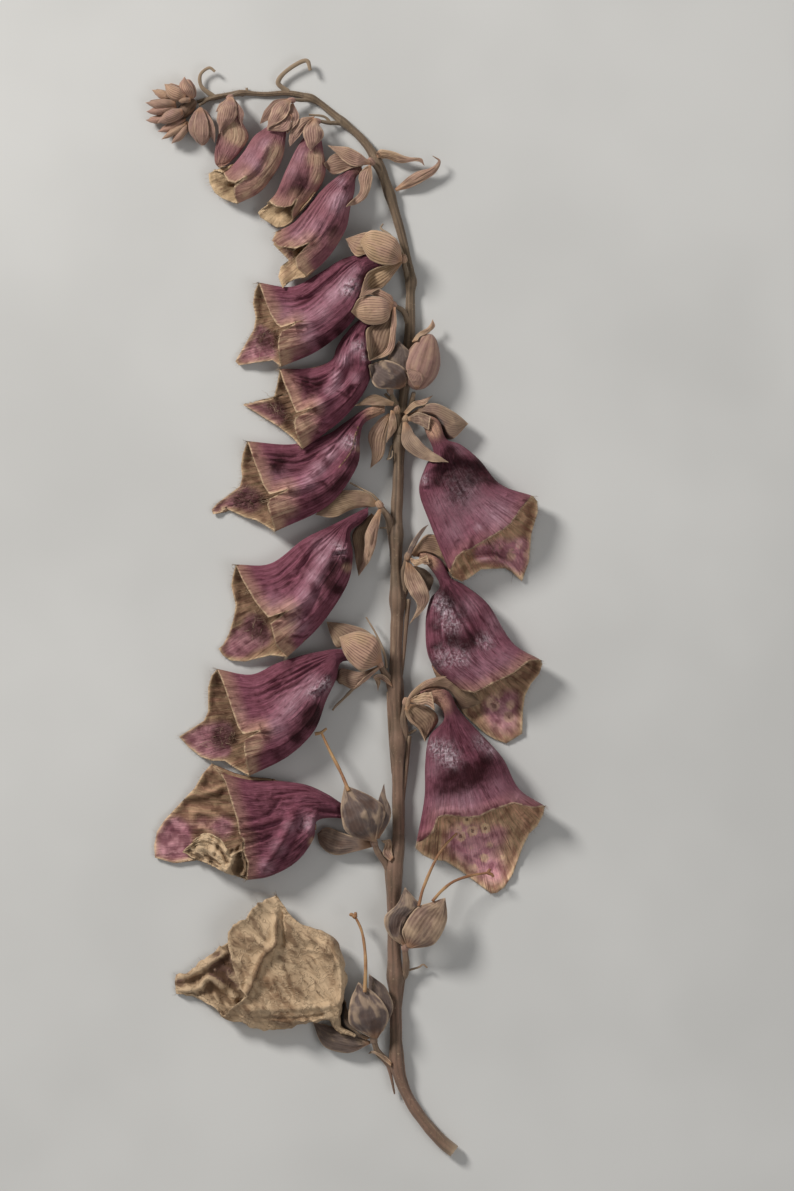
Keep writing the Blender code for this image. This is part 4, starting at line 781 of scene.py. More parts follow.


# base is the height of the neck's middle, lift that of the two sides of the mouth, depth how far the upper and the
# lower wall arch from there, and profile the upper wall's arch from side to side. paper is the parchment flower,
# closed the last bud, and young how unripe a bell is. wrinkle, lumps and crush are the heights of its fine, round and
# broad folds. stations are cross-sections seen from above, as the two ends of their width, from calyx to mouth.
# near and far are the mouth's edges on the upper and the lower wall. folds on the upper wall and those on the lip are
# raised or sunk lines: points, width, height. The patches of colour, from pale to hair, are x, y, radius, strength.
# pale is partly a paler tone and partly painted highlight on ridges, dark partly burgundy stain and partly painted
# shade on bellies and undersides, and the glossy patches carry a painted whitish sheen. lit is how much a bell's
# inside is painted brighter: painted light.
bells = {}
bells["01"] = bellLook(
    base=4.6, lift=(4.6, 4.4), depth=(4.9, 5), profile=(0, 0.62, 0.5, 0.42, 0.42, 0.5, 0.62, 0.72, 0), paper=1,
    wrinkle=0.08, lumps=0.12, crush=0.3,
    stations="4.6 -106.4 4.2 -107.2, -0.4 -103.6 -1.6 -105, -0.8 -99 -4.4 -102.4, 0.5 -92.5 -10.5 -103.6, "
    "-2.4 -82.4 -16.5 -104.7, -12.6 -77.2 -23 -104.2, -17.2 -70.9 -30.5 -101.3",
    near="-20 -72.2, -22 -73.2, -25 -76.8, -28 -78.5, -29.2 -80.5, -27.5 -89, -26 -94, -24.2 -96, -26.5 -98, -29 -99.5",
    far="-21 -74.5, -28.5 -82.5, -34 -86, -39 -90.5, -42 -91.3, -42.6 -93.5, -42 -96, -38 -96, -32.5 -99.8",
    folds="-24.2 -96, -20.5 -86.8, -17.2 -83, -16.8 -79, -17.4 -72 / 0.79 2.18; -19.5 -86, -15 -93 / 1.01 -0.57; "
    "-15.6 -84, -15.8 -74.5 / 0.72 -1.49; -4 -80.4, -1.8 -85, -0.8 -90, -0.6 -96, -3.5 -99.5 / 0.86 1.49; -3 -98.5, "
    "-14 -99.2, -27 -99.2 / 0.94 1.03; -5 -100.6, -11 -101.6, -24 -101.6 / 0.43 -0.8; -9.4 -84.6, -5 -85.6, "
    "-2.4 -85.6 / 0.25 0.57; -5.2 -85.6, -3.6 -80.2 / 0.29 0.52; -27.2 -79, -24.5 -81.5, -24 -84.5 / 0.58 -0.57; "
    "-28 -82.5, -25 -84.4, -21.6 -85 / 0.36 0.46; -25.8 -88, -24.6 -91.5, -25.2 -95 / 0.58 -0.69; -29 -97.6, "
    "-26 -97.2, -23.6 -96 / 0.43 0.92",
    lip="-30 -86, -38 -91, -41.5 -92 / 1 1.6; -41 -95, -36.5 -94.4, -33.4 -92, -27.5 -97 / 1 2.2",
    dark="-27.5 -95.5 1.2 0.9, -12 -82.6 3 0.25",
    blush="-30.5 -88.5 3.4 1.2, -31.5 -91.5 2.2 0.9, -41.5 -92.6 2 0.8, -27.5 -93.5 1.6 0.8",
)
bells["03"] = bellLook(
    base=4.8, lift=(4.2, 4.4), depth=(3.9, 4.6), lit=0.2, wrinkle=0.18, lumps=0.2,
    stations="4.8 -52 4.6 -54, -1.2 -48 -1 -52, -4.5 -45.9 -6.8 -52.6, -9.5 -43.7 -7.8 -57.2, -16 -42.8 -12 -62.8, "
    "-24 -42.8 -18.5 -66.4, -30.5 -41.4 -24.5 -67.4",
    near="-29.6 -43, -26.8 -52, -26.2 -55.5, -25 -57.5, -25.2 -60, -24.1 -63",
    far="-33.2 -38.4, -35.5 -41, -37.5 -44.5, -45 -52.5, -47 -55.5, -47.7 -59, -47.5 -62, -43 -63.3, -38 -62.3, "
    "-34 -63.5, -27.5 -66.3",
    folds="-20.8 -65.4, -16 -58.5, -14 -54.5, -12.4 -50.8, -12.2 -48 / 1.2 1.5; -18.4 -65, -11.2 -54 / 0.9 -0.8; "
    "-26 -55.3, -20 -54.3, -13.6 -52.2 / 0.42 -0.9; -25.8 -54.4, -20 -53.3, -14.6 -51.2 / 0.5 0.4; -1.5 -49.6, "
    "-8.2 -46.4, -12.6 -47.4 / 0.9 0.8; -2 -50.8, -10.5 -49.2 / 0.5 -0.5; -1.5 -51.5, -8.4 -51 / 0.5 0.5; -7.8 -51.4, "
    "-8.4 -54, -9.6 -56 / 0.7 0.8; -10.6 -52, -11.4 -54, -10 -55.2 / 0.5 -0.8; -25 -58.9, -20 -57.4, "
    "-17 -55.6 / 0.4 -0.7; -26 -53.2, -20 -51.8, -15.6 -49.4 / 0.4 -0.5; -18 -46.6, -12 -45.6, -7 -45.4 / 0.45 -0.6; "
    "-15.6 -47, -17.4 -49.6, -19.4 -51.4 / 0.35 -0.5; -23.4 -61.6, -19.4 -60.6 / 0.4 -0.4",
    lip="-38.5 -46.4, -35 -46, -29.3 -43.9 / 0.8 0.9; -39.5 -48.4, -36 -48.1, -29 -51.4 / 0.7 -1.1; -38 -50.4, "
    "-34 -50.8, -30 -53, -27 -54 / 0.8 1; -44 -52, -38 -57 / 0.9 0.8; -46 -57, -38.5 -60 / 0.8 -0.7; -36 -54, "
    "-33 -56.4 / 0.8 0.7",
    pale="-19.5 -64 2 0.7, -16.5 -59 1.8 0.7, -13.6 -54 1.6 0.7, -9 -53 2 0.6",
    dark="-14 -62 2.2 0.5, -11 -58.5 2 0.6, -22 -54.8 2.5 0.3, -24 -57 2 0.4, -6 -49 3 0.3, -20 -47.8 4.5 0.4, "
    "-18.8 -57.6 3.4 0.35",
    glaze="-9.4 -53 1.8 0.5", tan="-8 -57.6 1.2 1",
    blush="-45.4 -58 4.4 1.6, -42 -55 3.4 1, -40.6 -60.4 3.4 1, -30.4 -54.4 3.4 1, -36 -53 2.4 0.5",
    hair="-33 -54.6 3 0.25",
)
bells["04"] = bellLook(
    base=5, lift=(4.8, 5.2), depth=(5.4, 5.6), lit=0.9, wrinkle=0.1, lumps=0.16,
    stations="17.4 -22.9 17.4 -21, 21 -22.9 21.4 -19.7, 23.8 -24.4 25.8 -20.4, 24.6 -27.6 28.4 -25, 21 -31.8 33 -30, "
    "20 -38.4 39.2 -36.8, 19.8 -47 43.4 -44.6, 17.7 -58.6 49.8 -48.9",
    near="18 -58, 20 -57, 22 -55.3, 23.2 -51.5, 25 -51, 31 -51.6, 33.5 -51.3, 36 -50, 42 -48, 46.5 -49.2, 49 -49",
    far="17.7 -59.5, 19.5 -61.3, 22 -62.5, 25 -62.8, 28.5 -65, 36.5 -71, 38 -70.8, 40 -69.3, 42 -66, 44.5 -59, 46 -56, "
    "48 -54, 49.5 -51",
    folds="35 -38.5, 28.2 -28.6, 26 -24.6, 23.6 -21.6 / 0.8 0.6; 30.4 -36, 23.6 -22.8 / 0.5 -0.5; 33 -36.5, "
    "25.4 -23.6 / 0.4 -0.4; 26.6 -33, 25.6 -28.6, 24.2 -25 / 0.6 0.4; 38.6 -38, 35 -32.4, 28.4 -25.2 / 0.7 0.45; "
    "20.6 -46, 20.9 -34.5, 24.4 -28.4 / 0.8 0.4; 18.4 -57.2, 21.8 -54.3, 22.4 -50 / 0.8 0.9; 23 -54, 24.3 -50.6, "
    "31 -50.6 / 0.8 0.5; 30 -50, 34 -49.6, 42 -46.6 / 1 0.5; 43 -46.4, 46 -48, 49 -48.8 / 0.8 0.6",
    pale="30 -47 4 0.6, 24 -48 3 0.5, 38 -44 3 0.4, 37 -35 2 0.6, 43 -46.5 2 0.4, 22 -40 2 0.4",
    dark="27 -42.3 4 0.75, 33 -39.8 4.2 0.65, 23.6 -45 3 0.5, 30.5 -41.5 4 0.4, 38 -40 3 0.4, 36 -36.5 2.6 0.3",
    glaze="25 -35.5 2.6 1, 22.4 -34 1.8 0.8, 27 -37.4 1.8 0.6, 33.6 -32.6 1.8 0.7, 36.4 -34.6 1.4 0.6",
    warm="22 -21 2.6 1.2, 24.4 -24 1.8 0.9", blush="32 -59 6 0.9, 37 -66 5 0.65, 28 -57 4 0.5, 39 -56 3.5 0.5",
    spots="31.5 -56 3.8 1.3, 36 -56.5 4 1.4, 34 -62.5 3 1.2, 38.5 -60 3 1, 34 -52 2.8 1.2",
)
bells["05"] = bellLook(
    base=5, lift=(3.6, 5.2), depth=(4.5, 4.9), profile=(0, 0.4, 0.5, 0.58, 0.78, 1, 0.98, 0.8, 0), wrinkle=0.14,
    stations="6.4 -11.8 6.2 -13.6, -1 -9.9 -0.6 -13, -6 -10.4 -2.2 -17.5, -11 -11.5 -4.6 -22.6, -17 -13.4 -7.6 -30.2, "
    "-23.5 -16.2 -14.2 -36.6, -31.8 -14.8 -23.7 -41.4",
    near="-30.2 -18.5, -26.6 -29, -25.3 -30.9, -21 -30, -24.8 -32.2, -25 -34.5, -24.4 -38.5",
    far="-33.3 -16.5, -34.2 -19.5, -34.2 -25.5, -35.3 -27.8, -41.5 -31.8, -39 -34.5, -36 -36.8, -33 -37.8, -30 -37.8, "
    "-27.5 -39.5",
    folds="-21 -30.4, -17.5 -28.8, -12 -22, -9 -19.4, -2.4 -15.6 / 2 0.9; -25 -31.7, -21.5 -31, -17 -31.2 / 0.5 -0.6; "
    "-19 -20.2, -15 -18.9, -8.5 -15, -4 -12.9 / 0.4 -0.8; -18.6 -18.4, -14.6 -17, -6.4 -12.8 / 0.35 -0.55; "
    "-17.4 -21.4, -10 -18.4, -7 -16.4 / 0.35 -0.45; -12.6 -18.4, -5 -13.8 / 0.4 0.5; -8.4 -20.6, -5 -18.8 / 0.4 0.7; "
    "-6.6 -21.4, -5.6 -19.8, -4 -19.4 / 0.4 -0.7",
    pale="-17 -29 2.6 0.7, -14 -24 2.8 0.8, -11 -20.6 2.2 0.7, -8 -17.6 2 0.6, -27.5 -26 2.5 0.4",
    dark="-9 -27.5 2.6 0.9, -12 -32 2.6 0.8, -16.5 -36 2.4 0.6, -4 -16.6 1.2 0.7, -14 -13.6 2.4 0.5, -7 -24 1.6 0.7, "
    "-8 -11.4 2.4 0.5, -7.5 -26.4 2.6 0.7",
    glaze="-5.4 -19 1.7 1, -8 -20.6 1.5 0.7, -4.2 -18 1.1 0.7",
    tan="-24 -36 3 0.9, -23.6 -40 1.6 1.1, -27.5 -28 2 0.4, -22 -33 2.4 0.6",
    blush="-38 -33 3.4 1.3, -33 -31.4 3.6 1, -34 -35 3 1.1, -29.5 -30 2.4 0.7, -30 -35.4 2 0.8",
    hair="-31.6 -32.2 2.6 1, -28.5 -32.4 2.2 0.9, -30 -28.6 2 0.6",
)
bells["06"] = bellLook(
    base=5, lift=(3.4, 4.6), depth=(4.4, 4.6), lit=0.3, wrinkle=0.12, lumps=0.24,
    stations="17.6 12 17.8 13.8, 19.8 11.6 20.6 14, 22.2 9 24.2 12, 23.6 5.6 26.4 8, 21.2 2.4 30 6, 20.1 -4 35.8 1.2, "
    "21.4 -13 41.8 -8.2, 29 -20.2 48.9 -12.6",
    near="32.3 -20.7, 42 -15.8, 46 -12.7",
    far="30 -26.5, 35 -31, 37.5 -32.5, 40.3 -33.5, 44.3 -31, 44.5 -25, 45 -21.5, 46.5 -18.5, 48.5 -16, 49.2 -13.6",
    folds="34.4 -8, 27 4, 25.2 8 / 0.7 0.8; 33.2 -8, 28 0.2, 24.4 7 / 0.5 -0.7; 36 -4, 32.4 -0.4, 27.2 6.4 / 0.5 0.35; "
    "21.6 -10, 21.5 -1.4, 23.8 3.6 / 0.8 0.5; 24.6 -9, 24.2 -4, 24.8 0.6 / 0.5 -0.4; 25.6 -3, 25.8 0, "
    "25.4 3 / 0.6 0.5; 44 -10.6, 48.6 -12.4 / 0.8 0.5",
    pale="34 -15 4 0.5, 31 1 2.6 0.6, 38 -3 3 0.5, 40 -12 3 0.4, 28 -17 2 0.4",
    dark="26.8 -7.5 2.4 0.8, 31.5 -7.4 2.4 0.8, 30 -1.5 3.4 0.55, 27 2.4 2.4 0.5, 34 -6 2.4 0.4, 22.4 -4 1.8 0.9, "
    "22.6 -9 1.6 0.9, 22.4 -14 1.8 0.7, 29.5 -9.6 1.6 0.6, 23.8 4.6 2 0.8, 25.5 1 2.4 0.5",
    glaze="23.4 1.6 2 1, 26.4 -3.4 2.6 0.9, 24.6 -12 2.6 0.7, 29 -12 2.2 0.7, 35 -8 2 0.7, 25.4 -0.4 1.8 0.6",
    warm="19.6 12.8 2.4 1.2, 21.4 11.6 1.6 0.9", blush="40 -28 5.5 0.76, 37 -24 3.4 0.6, 42 -22 3 0.56",
    spots="40 -24 3 1, 36 -23 2.4 0.7, 41 -28.5 2.4 0.5, 33.5 -25 1.8 0.6",
)
bells["07"] = bellLook(
    base=5.2, lift=(3.6, 5.2), depth=(4.5, 4.9), profile=(0, 0.36, 0.44, 0.52, 0.74, 1, 0.92, 0.76, 0), wrinkle=0.14,
    stations="6.8 26 6.6 24.2, 3.4 24.4 4.2 21.6, -0.5 22.4 1.4 19, -5 20.2 2 13.5, -10.5 17.4 0.6 6.2, "
    "-18.5 11.5 -5.8 -3.6, -27.2 11.2 -14.2 -11.8",
    near="-25.3 7, -22.3 2, -19 -2, -14 -0.3, -18.4 -3.4, -17 -9",
    far="-28 8.5, -28.4 6, -27.3 1, -27.8 -2, -29 -6, -30.5 -8.8, -31.6 -9.8, -30.5 -11.5, -28.5 -12.8, -25 -13, "
    "-18.4 -11.4",
    folds="-15.5 -1.6, -12.4 0, -10.2 2.4, -1 20 / 1.6 1.3; -11 -2, -8.2 1.4, -2.2 11.6, -0.6 13.2 / 1.2 -1.1; "
    "-14 7.4, -11.5 8.6, -8.8 13.4, -4.4 18.4 / 0.45 -0.8; -12.6 10, -8.8 15.4, -6.4 18 / 0.4 0.45; -16 8.6, "
    "-11.2 13.3, -6 19 / 0.4 -0.4; -3.2 14.4, 0.3 14.9, 0.7 16.6 / 0.35 0.9; -3 13.6, 0.6 13.8 / 0.35 -0.8; "
    "-13.4 -6.4, -10.4 -6.8, -8.4 -6 / 0.5 0.6; -13 -7.4, -10.6 -7.8, -9 -7.2 / 0.5 -0.5; -18.4 -2.7, "
    "-12.6 -2.2 / 0.45 -0.6",
    pale="-9.6 3.4 2.2 0.9, -7.4 8 2 1, -5.4 12.4 2 1, -3.4 16.4 1.8 0.8, -13 0.2 2.2 0.8, -18 1.4 3 0.4, "
    "-11.3 -3.9 2.6 0.6, -6.3 16 2 0.6",
    dark="-2.6 10.6 1.8 1.2, -3.8 7 2 1.2, -1.6 4.8 1.6 0.9, -6.2 3 1.8 0.6, -9.4 -1.4 1.8 0.5, -4 20.2 3 0.5, "
    "0.2 12 1.4 0.9",
    glaze="-1.4 14.8 1.6 1", tan="-16 -7 3 1, -14.5 -11 2 1.1, -19 0 2 0.4, 0.8 10.4 1.3 0.9, -13 -4 2.2 0.5",
    blush="-29 -8 3 1.3, -26 -9 3.4 1.1, -21 -7 3 1, -23 -3 3 0.8",
    hair="-23 -4.6 2.8 1, -20.6 -2.6 2 0.9, -20 -7 2 0.7",
)
bells["08"] = bellLook(
    base=5, lift=(5.8, 4.8), depth=(4.6, 5.8), lit=1, wrinkle=0.1, lumps=0.16,
    stations="17.2 46.3 17.2 48.1, 19.4 45.6 20 48.5, 20.6 43 23.4 47, 22 39.2 25.2 42.6, 20 35.4 29 41, "
    "18.5 29.5 33.6 37.2, 21.2 21.4 38.8 31.2, 26 9.4 46.8 28.3",
    near="27 11, 28 13, 29.3 14.2, 31.5 15, 39.5 19.8, 41.5 21.5, 44.8 26.3",
    far="27 7.8, 29 7, 30.5 7.5, 34 10, 40 10.3, 41.5 9.5, 44.2 7, 46 12, 46.6 19, 48.2 24.5, 48 27",
    folds="24 35, 29.6 34.8, 37 32 / 1.6 -1.5; 27 38, 31 37.6, 35 35.4 / 1.2 0.5; 20 30, 20.1 34.3, 24.6 36 / 1 0.9; "
    "30.5 27, 27 32.6 / 0.5 0.3; 28.5 13.8, 28.6 15.6, 28 16.8 / 0.6 -0.6; 29.8 14.4, 31 15.8, 32.6 20.4 / 0.9 0.4; "
    "40 28.6, 43.4 27.2, 46 27.8 / 0.7 0.5; 27.4 10, 27.6 12.6, 29 14 / 0.6 0.6",
    lip="32 12.4, 36 12.9, 39.4 12.2, 43.8 8.4 / 0.7 1.5; 34 11.2, 38 11, 41 9.6 / 0.7 -0.3",
    pale="30 26 4 0.45, 31 31 3 0.25, 24 26 3 0.4, 38 23.6 4.4 0.9, 27 19.6 3.4 0.5, 28 39.6 2 0.4, 33 20.4 0.9 1",
    dark="27.6 35 3 1.3, 32.4 34.2 3 1.7, 37 32.2 2 0.8, 23.6 34.4 2 0.9, 22.4 31.4 1.6 0.7, 28.2 28.6 4.6 0.65, "
    "26 39.6 1.6 0.6, 26 37.4 2.4 0.8",
    glaze="19.3 33.2 1.5 0.6, 20 31.6 1 0.4, 29 30 4.4 0.24", warm="20.6 46.4 2.8 1.3, 22.4 44.2 1.8 1",
    blush="39 14.5 4 1, 43.6 12 3 1.3, 44.6 16 2.4 1, 34 14 2.4 0.9", spots="43 14 3 0.6, 40 13 2.4 0.5",
    hair="37 14.2 3 0.45, 41 13.6 2.6 0.45",
)
bells["09"] = bellLook(
    base=5.6, lift=(3.2, 5.4), depth=(4.3, 4.9), profile=(0, 0.36, 0.42, 0.5, 0.72, 1, 0.96, 0.8, 0), wrinkle=0.13,
    stations="10.8 51.2 10.6 49.3, 8.2 51.2 8.2 48.2, 4 49.4 4.8 46.2, 0 46.6 3.8 42.5, -5 43.4 3 35.5, "
    "-13.5 41.2 -4 26, -24.3 42 -17.3 19.4",
    near="-22.6 37, -20.3 31, -18.7 28.6, -14 29.8, -18.5 27.6, -19.2 26, -18.3 23",
    far="-25.5 39, -26 36, -25.7 33, -26.3 30.8, -32 26.5, -33.3 25, -33 23.8, -31.5 24, -30.3 25.5, -25 23, -22 22.2",
    folds="-14.5 29.4, -11 30.2, -8.6 32, -4.6 37.6, 0.6 42.6 / 1.5 1.1; -5 31.4, -3.4 34.4, 1.6 39.6 / 1.4 -0.7; "
    "-4.6 37.6, 1.4 45.6, 4.4 48.2 / 0.35 -0.7; -22 38.6, -16 37.8, -12 38.2, -5.4 42.4 / 0.4 -0.5; -19.6 37, "
    "-12.5 36.1, -7.9 37.9, -4.6 41 / 0.4 -0.6; -17 35.6, -10.1 35.6, -6 38.8 / 0.4 -0.4; 0.2 43.8, 2.8 41 / 0.45 0.6; "
    "0.4 41.6, 1.6 41.2, 2.4 40.2 / 0.4 -0.5; -18.4 28.2, -12 28.2 / 0.45 -0.6; -14 23, -10 24.6, -6.4 27 / 0.6 -0.3",
    pale="-9 32 2 0.8, -6.4 35 1.8 1, -3.6 38.6 1.8 1, -0.6 41.4 1.6 0.9, -13 30.2 2 0.6, -17 33.5 3 0.4",
    dark="-15 36.6 4 0.45, -10 37 3 0.3, 1.4 36.6 1.8 0.9, -0.4 33 2 0.7, -3.4 30.4 2.2 0.9, -7.4 27.8 2.2 0.7, "
    "-12 23.4 2.4 0.5, 2.4 45.6 1.4 0.6, -17.5 36 3 0.35, -17.5 36 3 0.3",
    glaze="1.4 41.6 1.7 1",
    tan="-17 24.4 3 1, -17.4 20.6 1.8 1.2, -20 31 2 0.5, -13 25.4 2.6 0.5, 3.4 40 1 0.8, 9 48.4 3 1",
    warm="9 50 2.6 1, 6.6 49.2 1.8 0.6", blush="-32.4 25 2 1.4, -29 27.6 2 1, -24 27.4 4 0.9, -27 28.8 2 0.9",
    hair="-24 27.4 2.8 1.1, -21 27 2 0.9, -27 27.4 1.8 0.6",
)
bells["12"] = bellLook(
    base=4.8, lift=(3.6, 6), depth=(4.4, 5.1), profile=(0, 0.3, 0.34, 0.44, 0.7, 1, 0.9, 0.7, 0), wrinkle=0.13,
    stations="9.6 75.2 10.2 73.6, 4.4 72.8 6.4 70, 0.2 68.8 6.6 66, -2 65.4 6.6 61.5, -3.6 62 5.6 55.5, "
    "-9 60.2 -0.5 47.4, -16.3 60 -10.5 39.9",
    near="-15.4 57, -12.1 48.9, -8 50, -12.2 47.6, -12.6 46.5, -12.2 44",
    far="-16.9 56.5, -17.8 52.8, -25.4 51.1, -16.5 45.6, -13 42.8",
    folds="-8.6 49.6, -5.6 51.4, -3.7 54, -0.8 61, 0.8 63.8, 3 65.6, 4.8 65.4 / 1.2 1.5; -1 54, 3 62.6 / 1 -1.2; "
    "1.2 53, 1.8 55.4 / 0.9 -1; 3.2 55.4, 3.6 58, 4.6 60 / 0.8 0.7; -2.6 58, -1.2 64.6, 3 71 / 0.4 -0.6; -1.6 61.4, "
    "-0.2 65.4, 2 69 / 0.4 0.5; 1.4 66.2, 3 68.6, 5 70 / 0.45 0.5; 3 67, 3.6 68.4 / 0.7 -0.6; 5.2 61, "
    "4.6 65 / 0.5 0.7; -14 58.4, -7.9 56.9, -3.4 58.6 / 0.35 -0.5; -12.6 57.2, -6.3 55.6, -2.8 57.6 / 0.35 -0.5; "
    "-12 48.5, -7 49 / 0.45 -0.6; -6.4 44.6, -4.4 44.8, -2.6 43.8 / 0.6 -0.7; -7 46, -4 46.2, -1.4 47.4 / 0.5 0.3",
    pale="-6.4 51 1.4 0.8, -3.6 54.4 1.4 1, -1.8 58 1.4 1, 0 62 1.6 1, 2.4 64.8 1.6 0.9, 2.6 57.4 1.4 0.6, "
    "-1.8 56 1.6 0.9",
    dark="2.6 60.6 1.8 0.6, 1.6 54.2 1.8 0.6, -6 55.4 2.2 0.4, -11 57 4 0.45, -9 55 3 0.4, -8.8 55 3 0.3",
    glaze="3.4 65.6 1.4 0.8, 5 62.6 1 0.8", tan="-11 44.6 2.4 1.1, -10.4 41.2 1.6 1.2, -12 52 2 0.5, -8 46 2.4 0.5",
    blush="-23 50.8 2.6 1.4, -20 49.6 2 1.1, -17 47.4 2 1, -17 50 2.4 0.8",
    hair="-16.4 50 2.4 1.2, -14.4 47.4 1.8 1, -18.4 51 1.6 0.8",
)
bells["13"] = bellLook(
    base=4.6, lift=(3.6, 5.6), depth=(4.4, 4.9), profile=(0, 0.36, 0.42, 0.52, 0.78, 1, 0.96, 0.8, 0), lit=0.15,
    wrinkle=0.12,
    stations="12.2 87.8 12 86, 5 88.4 5.9 84.2, -0.4 87.4 4.9 78.7, -6.5 83.8 1.7 71.5, -13.2 80.5 -6.4 64.6, "
    "-21.5 81.5 -15.8 60.4",
    near="-20 77.5, -18.5 73.5, -17 71, -15.9 70.1, -12 71.2, -15.9 68.9, -16.6 66, -16.3 62.5",
    far="-22.5 79.5, -23 76.5, -22.3 73, -22.8 70, -27.4 62, -26.5 61, -18 62.2",
    folds="-12.6 70.8, -9 71.8, -6 73.8, 4.4 86.2 / 1.9 0.9; -12 76.9, -9 77.6, -6 79.3, 3.4 87.2 / 0.35 -0.8; "
    "-11 77.8, -8 78.5, 1.4 86.6 / 0.35 -0.6; -0.4 80.6, 1 80.4, 2.2 79.6 / 0.4 0.7; 0.4 79.4, 1.6 78.8, "
    "2.6 80.6 / 0.4 -0.6; 1.8 81.6, 3.4 82.4, 4.4 81.6 / 0.6 0.7; 3 83.2, 4.2 82.8 / 0.6 -0.5; -15.6 69.5, "
    "-9 69.8 / 0.45 -0.6",
    pale="-10 71.6 2.4 0.7, -6 74 2.4 0.7, -3 78 2.2 0.9, 0 81 2 0.9, 2.4 84 1.8 0.6, -15 73.5 3 0.4, "
    "-8.8 67.4 2.4 0.5",
    dark="-5 66.4 2.4 0.8, -1.4 69.4 2 0.9, 0.8 72.6 1.6 0.8, 3.8 82.6 1 1, -9.4 64 2 0.5, 0 87.6 2 0.8, -6 85 2 0.5",
    glaze="1.6 80.4 1.8 1, 0 79 1.4 0.6",
    tan="-15 66 2.8 0.9, -15.4 62 2 1.2, -17.6 74.6 2 0.5, -11 66 3 0.4, -14.5 71 1.6 0.5",
    blush="-24 64 3.2 1.4, -20 63.6 3 1.2, -20 68 2.6 0.9, -22 70 2 0.6",
    hair="-20.6 67.6 1.9 1.2, -18.2 68.4 1.7 1.1, -17.6 66 1.6 0.7",
)
bells["14"] = bellLook(
    base=4.2, lift=(4, 5.4), depth=(3.6, 3.3), profile=(0, 0.6, 0.74, 0.86, 1, 0.98, 0.84, 0.6, 0), young=0.35,
    lit=0.15,
    stations="5 111 5.2 109.4, 1.8 110.2 2.9 107.8, -2 107.8 2.4 104, -5.5 104.8 1.4 100, -9 100.8 0.2 94.5, "
    "-12.8 96.4 -3.8 88, -17 94.2 -9.3 82.7",
    near="-18.1 91.8, -16.7 90.3, -12.2 89.6, -8.8 91, -12.3 87.2, -12 85",
    far="-17.8 91, -14.2 87.4, -13.6 85.8, -16 85.5, -16.6 83, -15.5 80, -14.5 81.4, -12 82.4",
    folds="-9.6 91.4, -7 94, -1 106 / 1.4 0.5; -9.4 90.6, -6.4 93, -2 101.4 / 0.6 -0.5; -10 95.6, "
    "-7.4 98.4 / 0.5 -0.3; 0 104.8, 0.6 105.4 / 0.8 -0.5",
    pale="-1 106.4 1.4 0.9, -3 101.6 2 0.6, -7 95.4 2.4 0.5, -11 92.6 2.6 0.5, -0.6 102.2 2 0.9, -2.4 99.4 1.6 0.5",
    dark="0.4 104.8 0.9 1, -1.4 108.4 1.6 0.7, -3 94 2 0.4, -3 95 2.4 0.35",
    tan="-17.4 92.6 1.8 1, -11 87 2.4 0.8, -10 84 2 1.1, -13.6 90.6 1.6 0.6, -2 92 3 0.35", warm="4 110 2 0.8",
    blush="-14.5 88.4 1.8 1.4",
)
bells["15"] = bellLook(
    base=3.8, lift=(3.4, 3), depth=(3.1, 2.7), young=0.6, lit=0.15, wrinkle=0.11,
    stations="-8 120.2 -6.4 119.8, -11.3 116.2 -5.4 114.7, -14.5 110 -4.9 108.3, -17 104.2 -8.4 102.1, "
    "-18.9 101.8 -12.9 97",
    near="-18.3 101, -17 100.2, -15 100, -13.2 100.4, -12 101.8, -13.3 98.5",
    far="-19.4 100.4, -21.7 99, -21 97.8, -17 95.3, -15 95.5",
    folds="-15.6 104, -12.4 114, -10.6 117 / 0.6 0.3; -12.4 101.6, -9 106.6, -8.4 114 / 0.5 -0.35",
    pale="-11 113 2 0.5, -13 109 2 0.4",
    dark="-10.6 106 3 0.4, -11.4 106.6 2.6 0.35, -12 103.6 2.4 0.6, -15.6 104 1.8 0.45",
    tan="-7.4 112 2.4 1.1, -6.6 107.4 2 0.9, -8 103 2 0.7, -18.6 101.4 1.4 0.9, -10.5 99.6 2 0.8",
)
bells["16"] = bellLook(
    base=3.6, lift=(3.6, 3.2), depth=(3.1, 2.7), young=0.6, lit=0.15, wrinkle=0.11,
    stations="-14.8 126 -14 124.6, -18.7 121 -14.7 118.1, -22.5 118.1 -15.5 112.7, -25.2 114.1 -17.7 108.4, "
    "-28 110.7 -21.3 104, -30.2 108.8 -26.6 101.2",
    near="-29.8 107.8, -29 106.5, -27.2 106.1, -24.6 107.5, -27.4 105.4, -27.7 104.4, -27.3 102.6",
    far="-32.5 109.5, -34 108.7, -33.8 106.5, -32.5 104, -30.5 102.5, -28 101.5",
    folds="-25 107.8, -22.4 110.4, -18.6 117 / 0.9 0.5; -24.6 106.6, -21.6 108.6, -19.4 112 / 0.5 -0.4; -20.6 112, "
    "-19 115.6 / 0.6 0.5",
    pale="-19.6 115.4 1.6 0.9, -22 110.4 1.6 0.7, -25.4 107.6 1.4 0.7, -24 113 2.4 0.4",
    dark="-21 119.6 1.6 0.5, -17.8 108 2 0.6, -20.6 108 2.2 0.5, -23 105 1.8 0.35",
    tan="-17 114 2.4 1.1, -18.6 110 2.2 1, -21 105.8 2.4 0.9, -24.6 103.4 2.2 0.9",
)
bells["17"] = bellLook(
    base=3.4, lift=(2.6, 2.6), depth=(1.7, 1.6), closed=1, young=1, wrinkle=0.11,
    stations="-29.2 125.8 -27.4 125.8, -30.8 121.3 -25.6 121.7, -31.9 117.3 -24 118, -32.5 114.1 -25.9 114.5, "
    "-32.4 111.5 -28.5 111.7, -31.4 110.1 -30.2 110.2",
    near="-31 110, -30.6 110", far="-31 110, -30.6 110", dark="-30.2 118.6 1.4 0.5, -30.6 113 1.8 0.4",
    tan="-26.6 118.6 2.2 1.1, -25.6 116.6 1.6 0.8, -28 121 1.6 0.5, -30.6 120 2.4 0.5, -28.4 117.4 2 0.5",
)
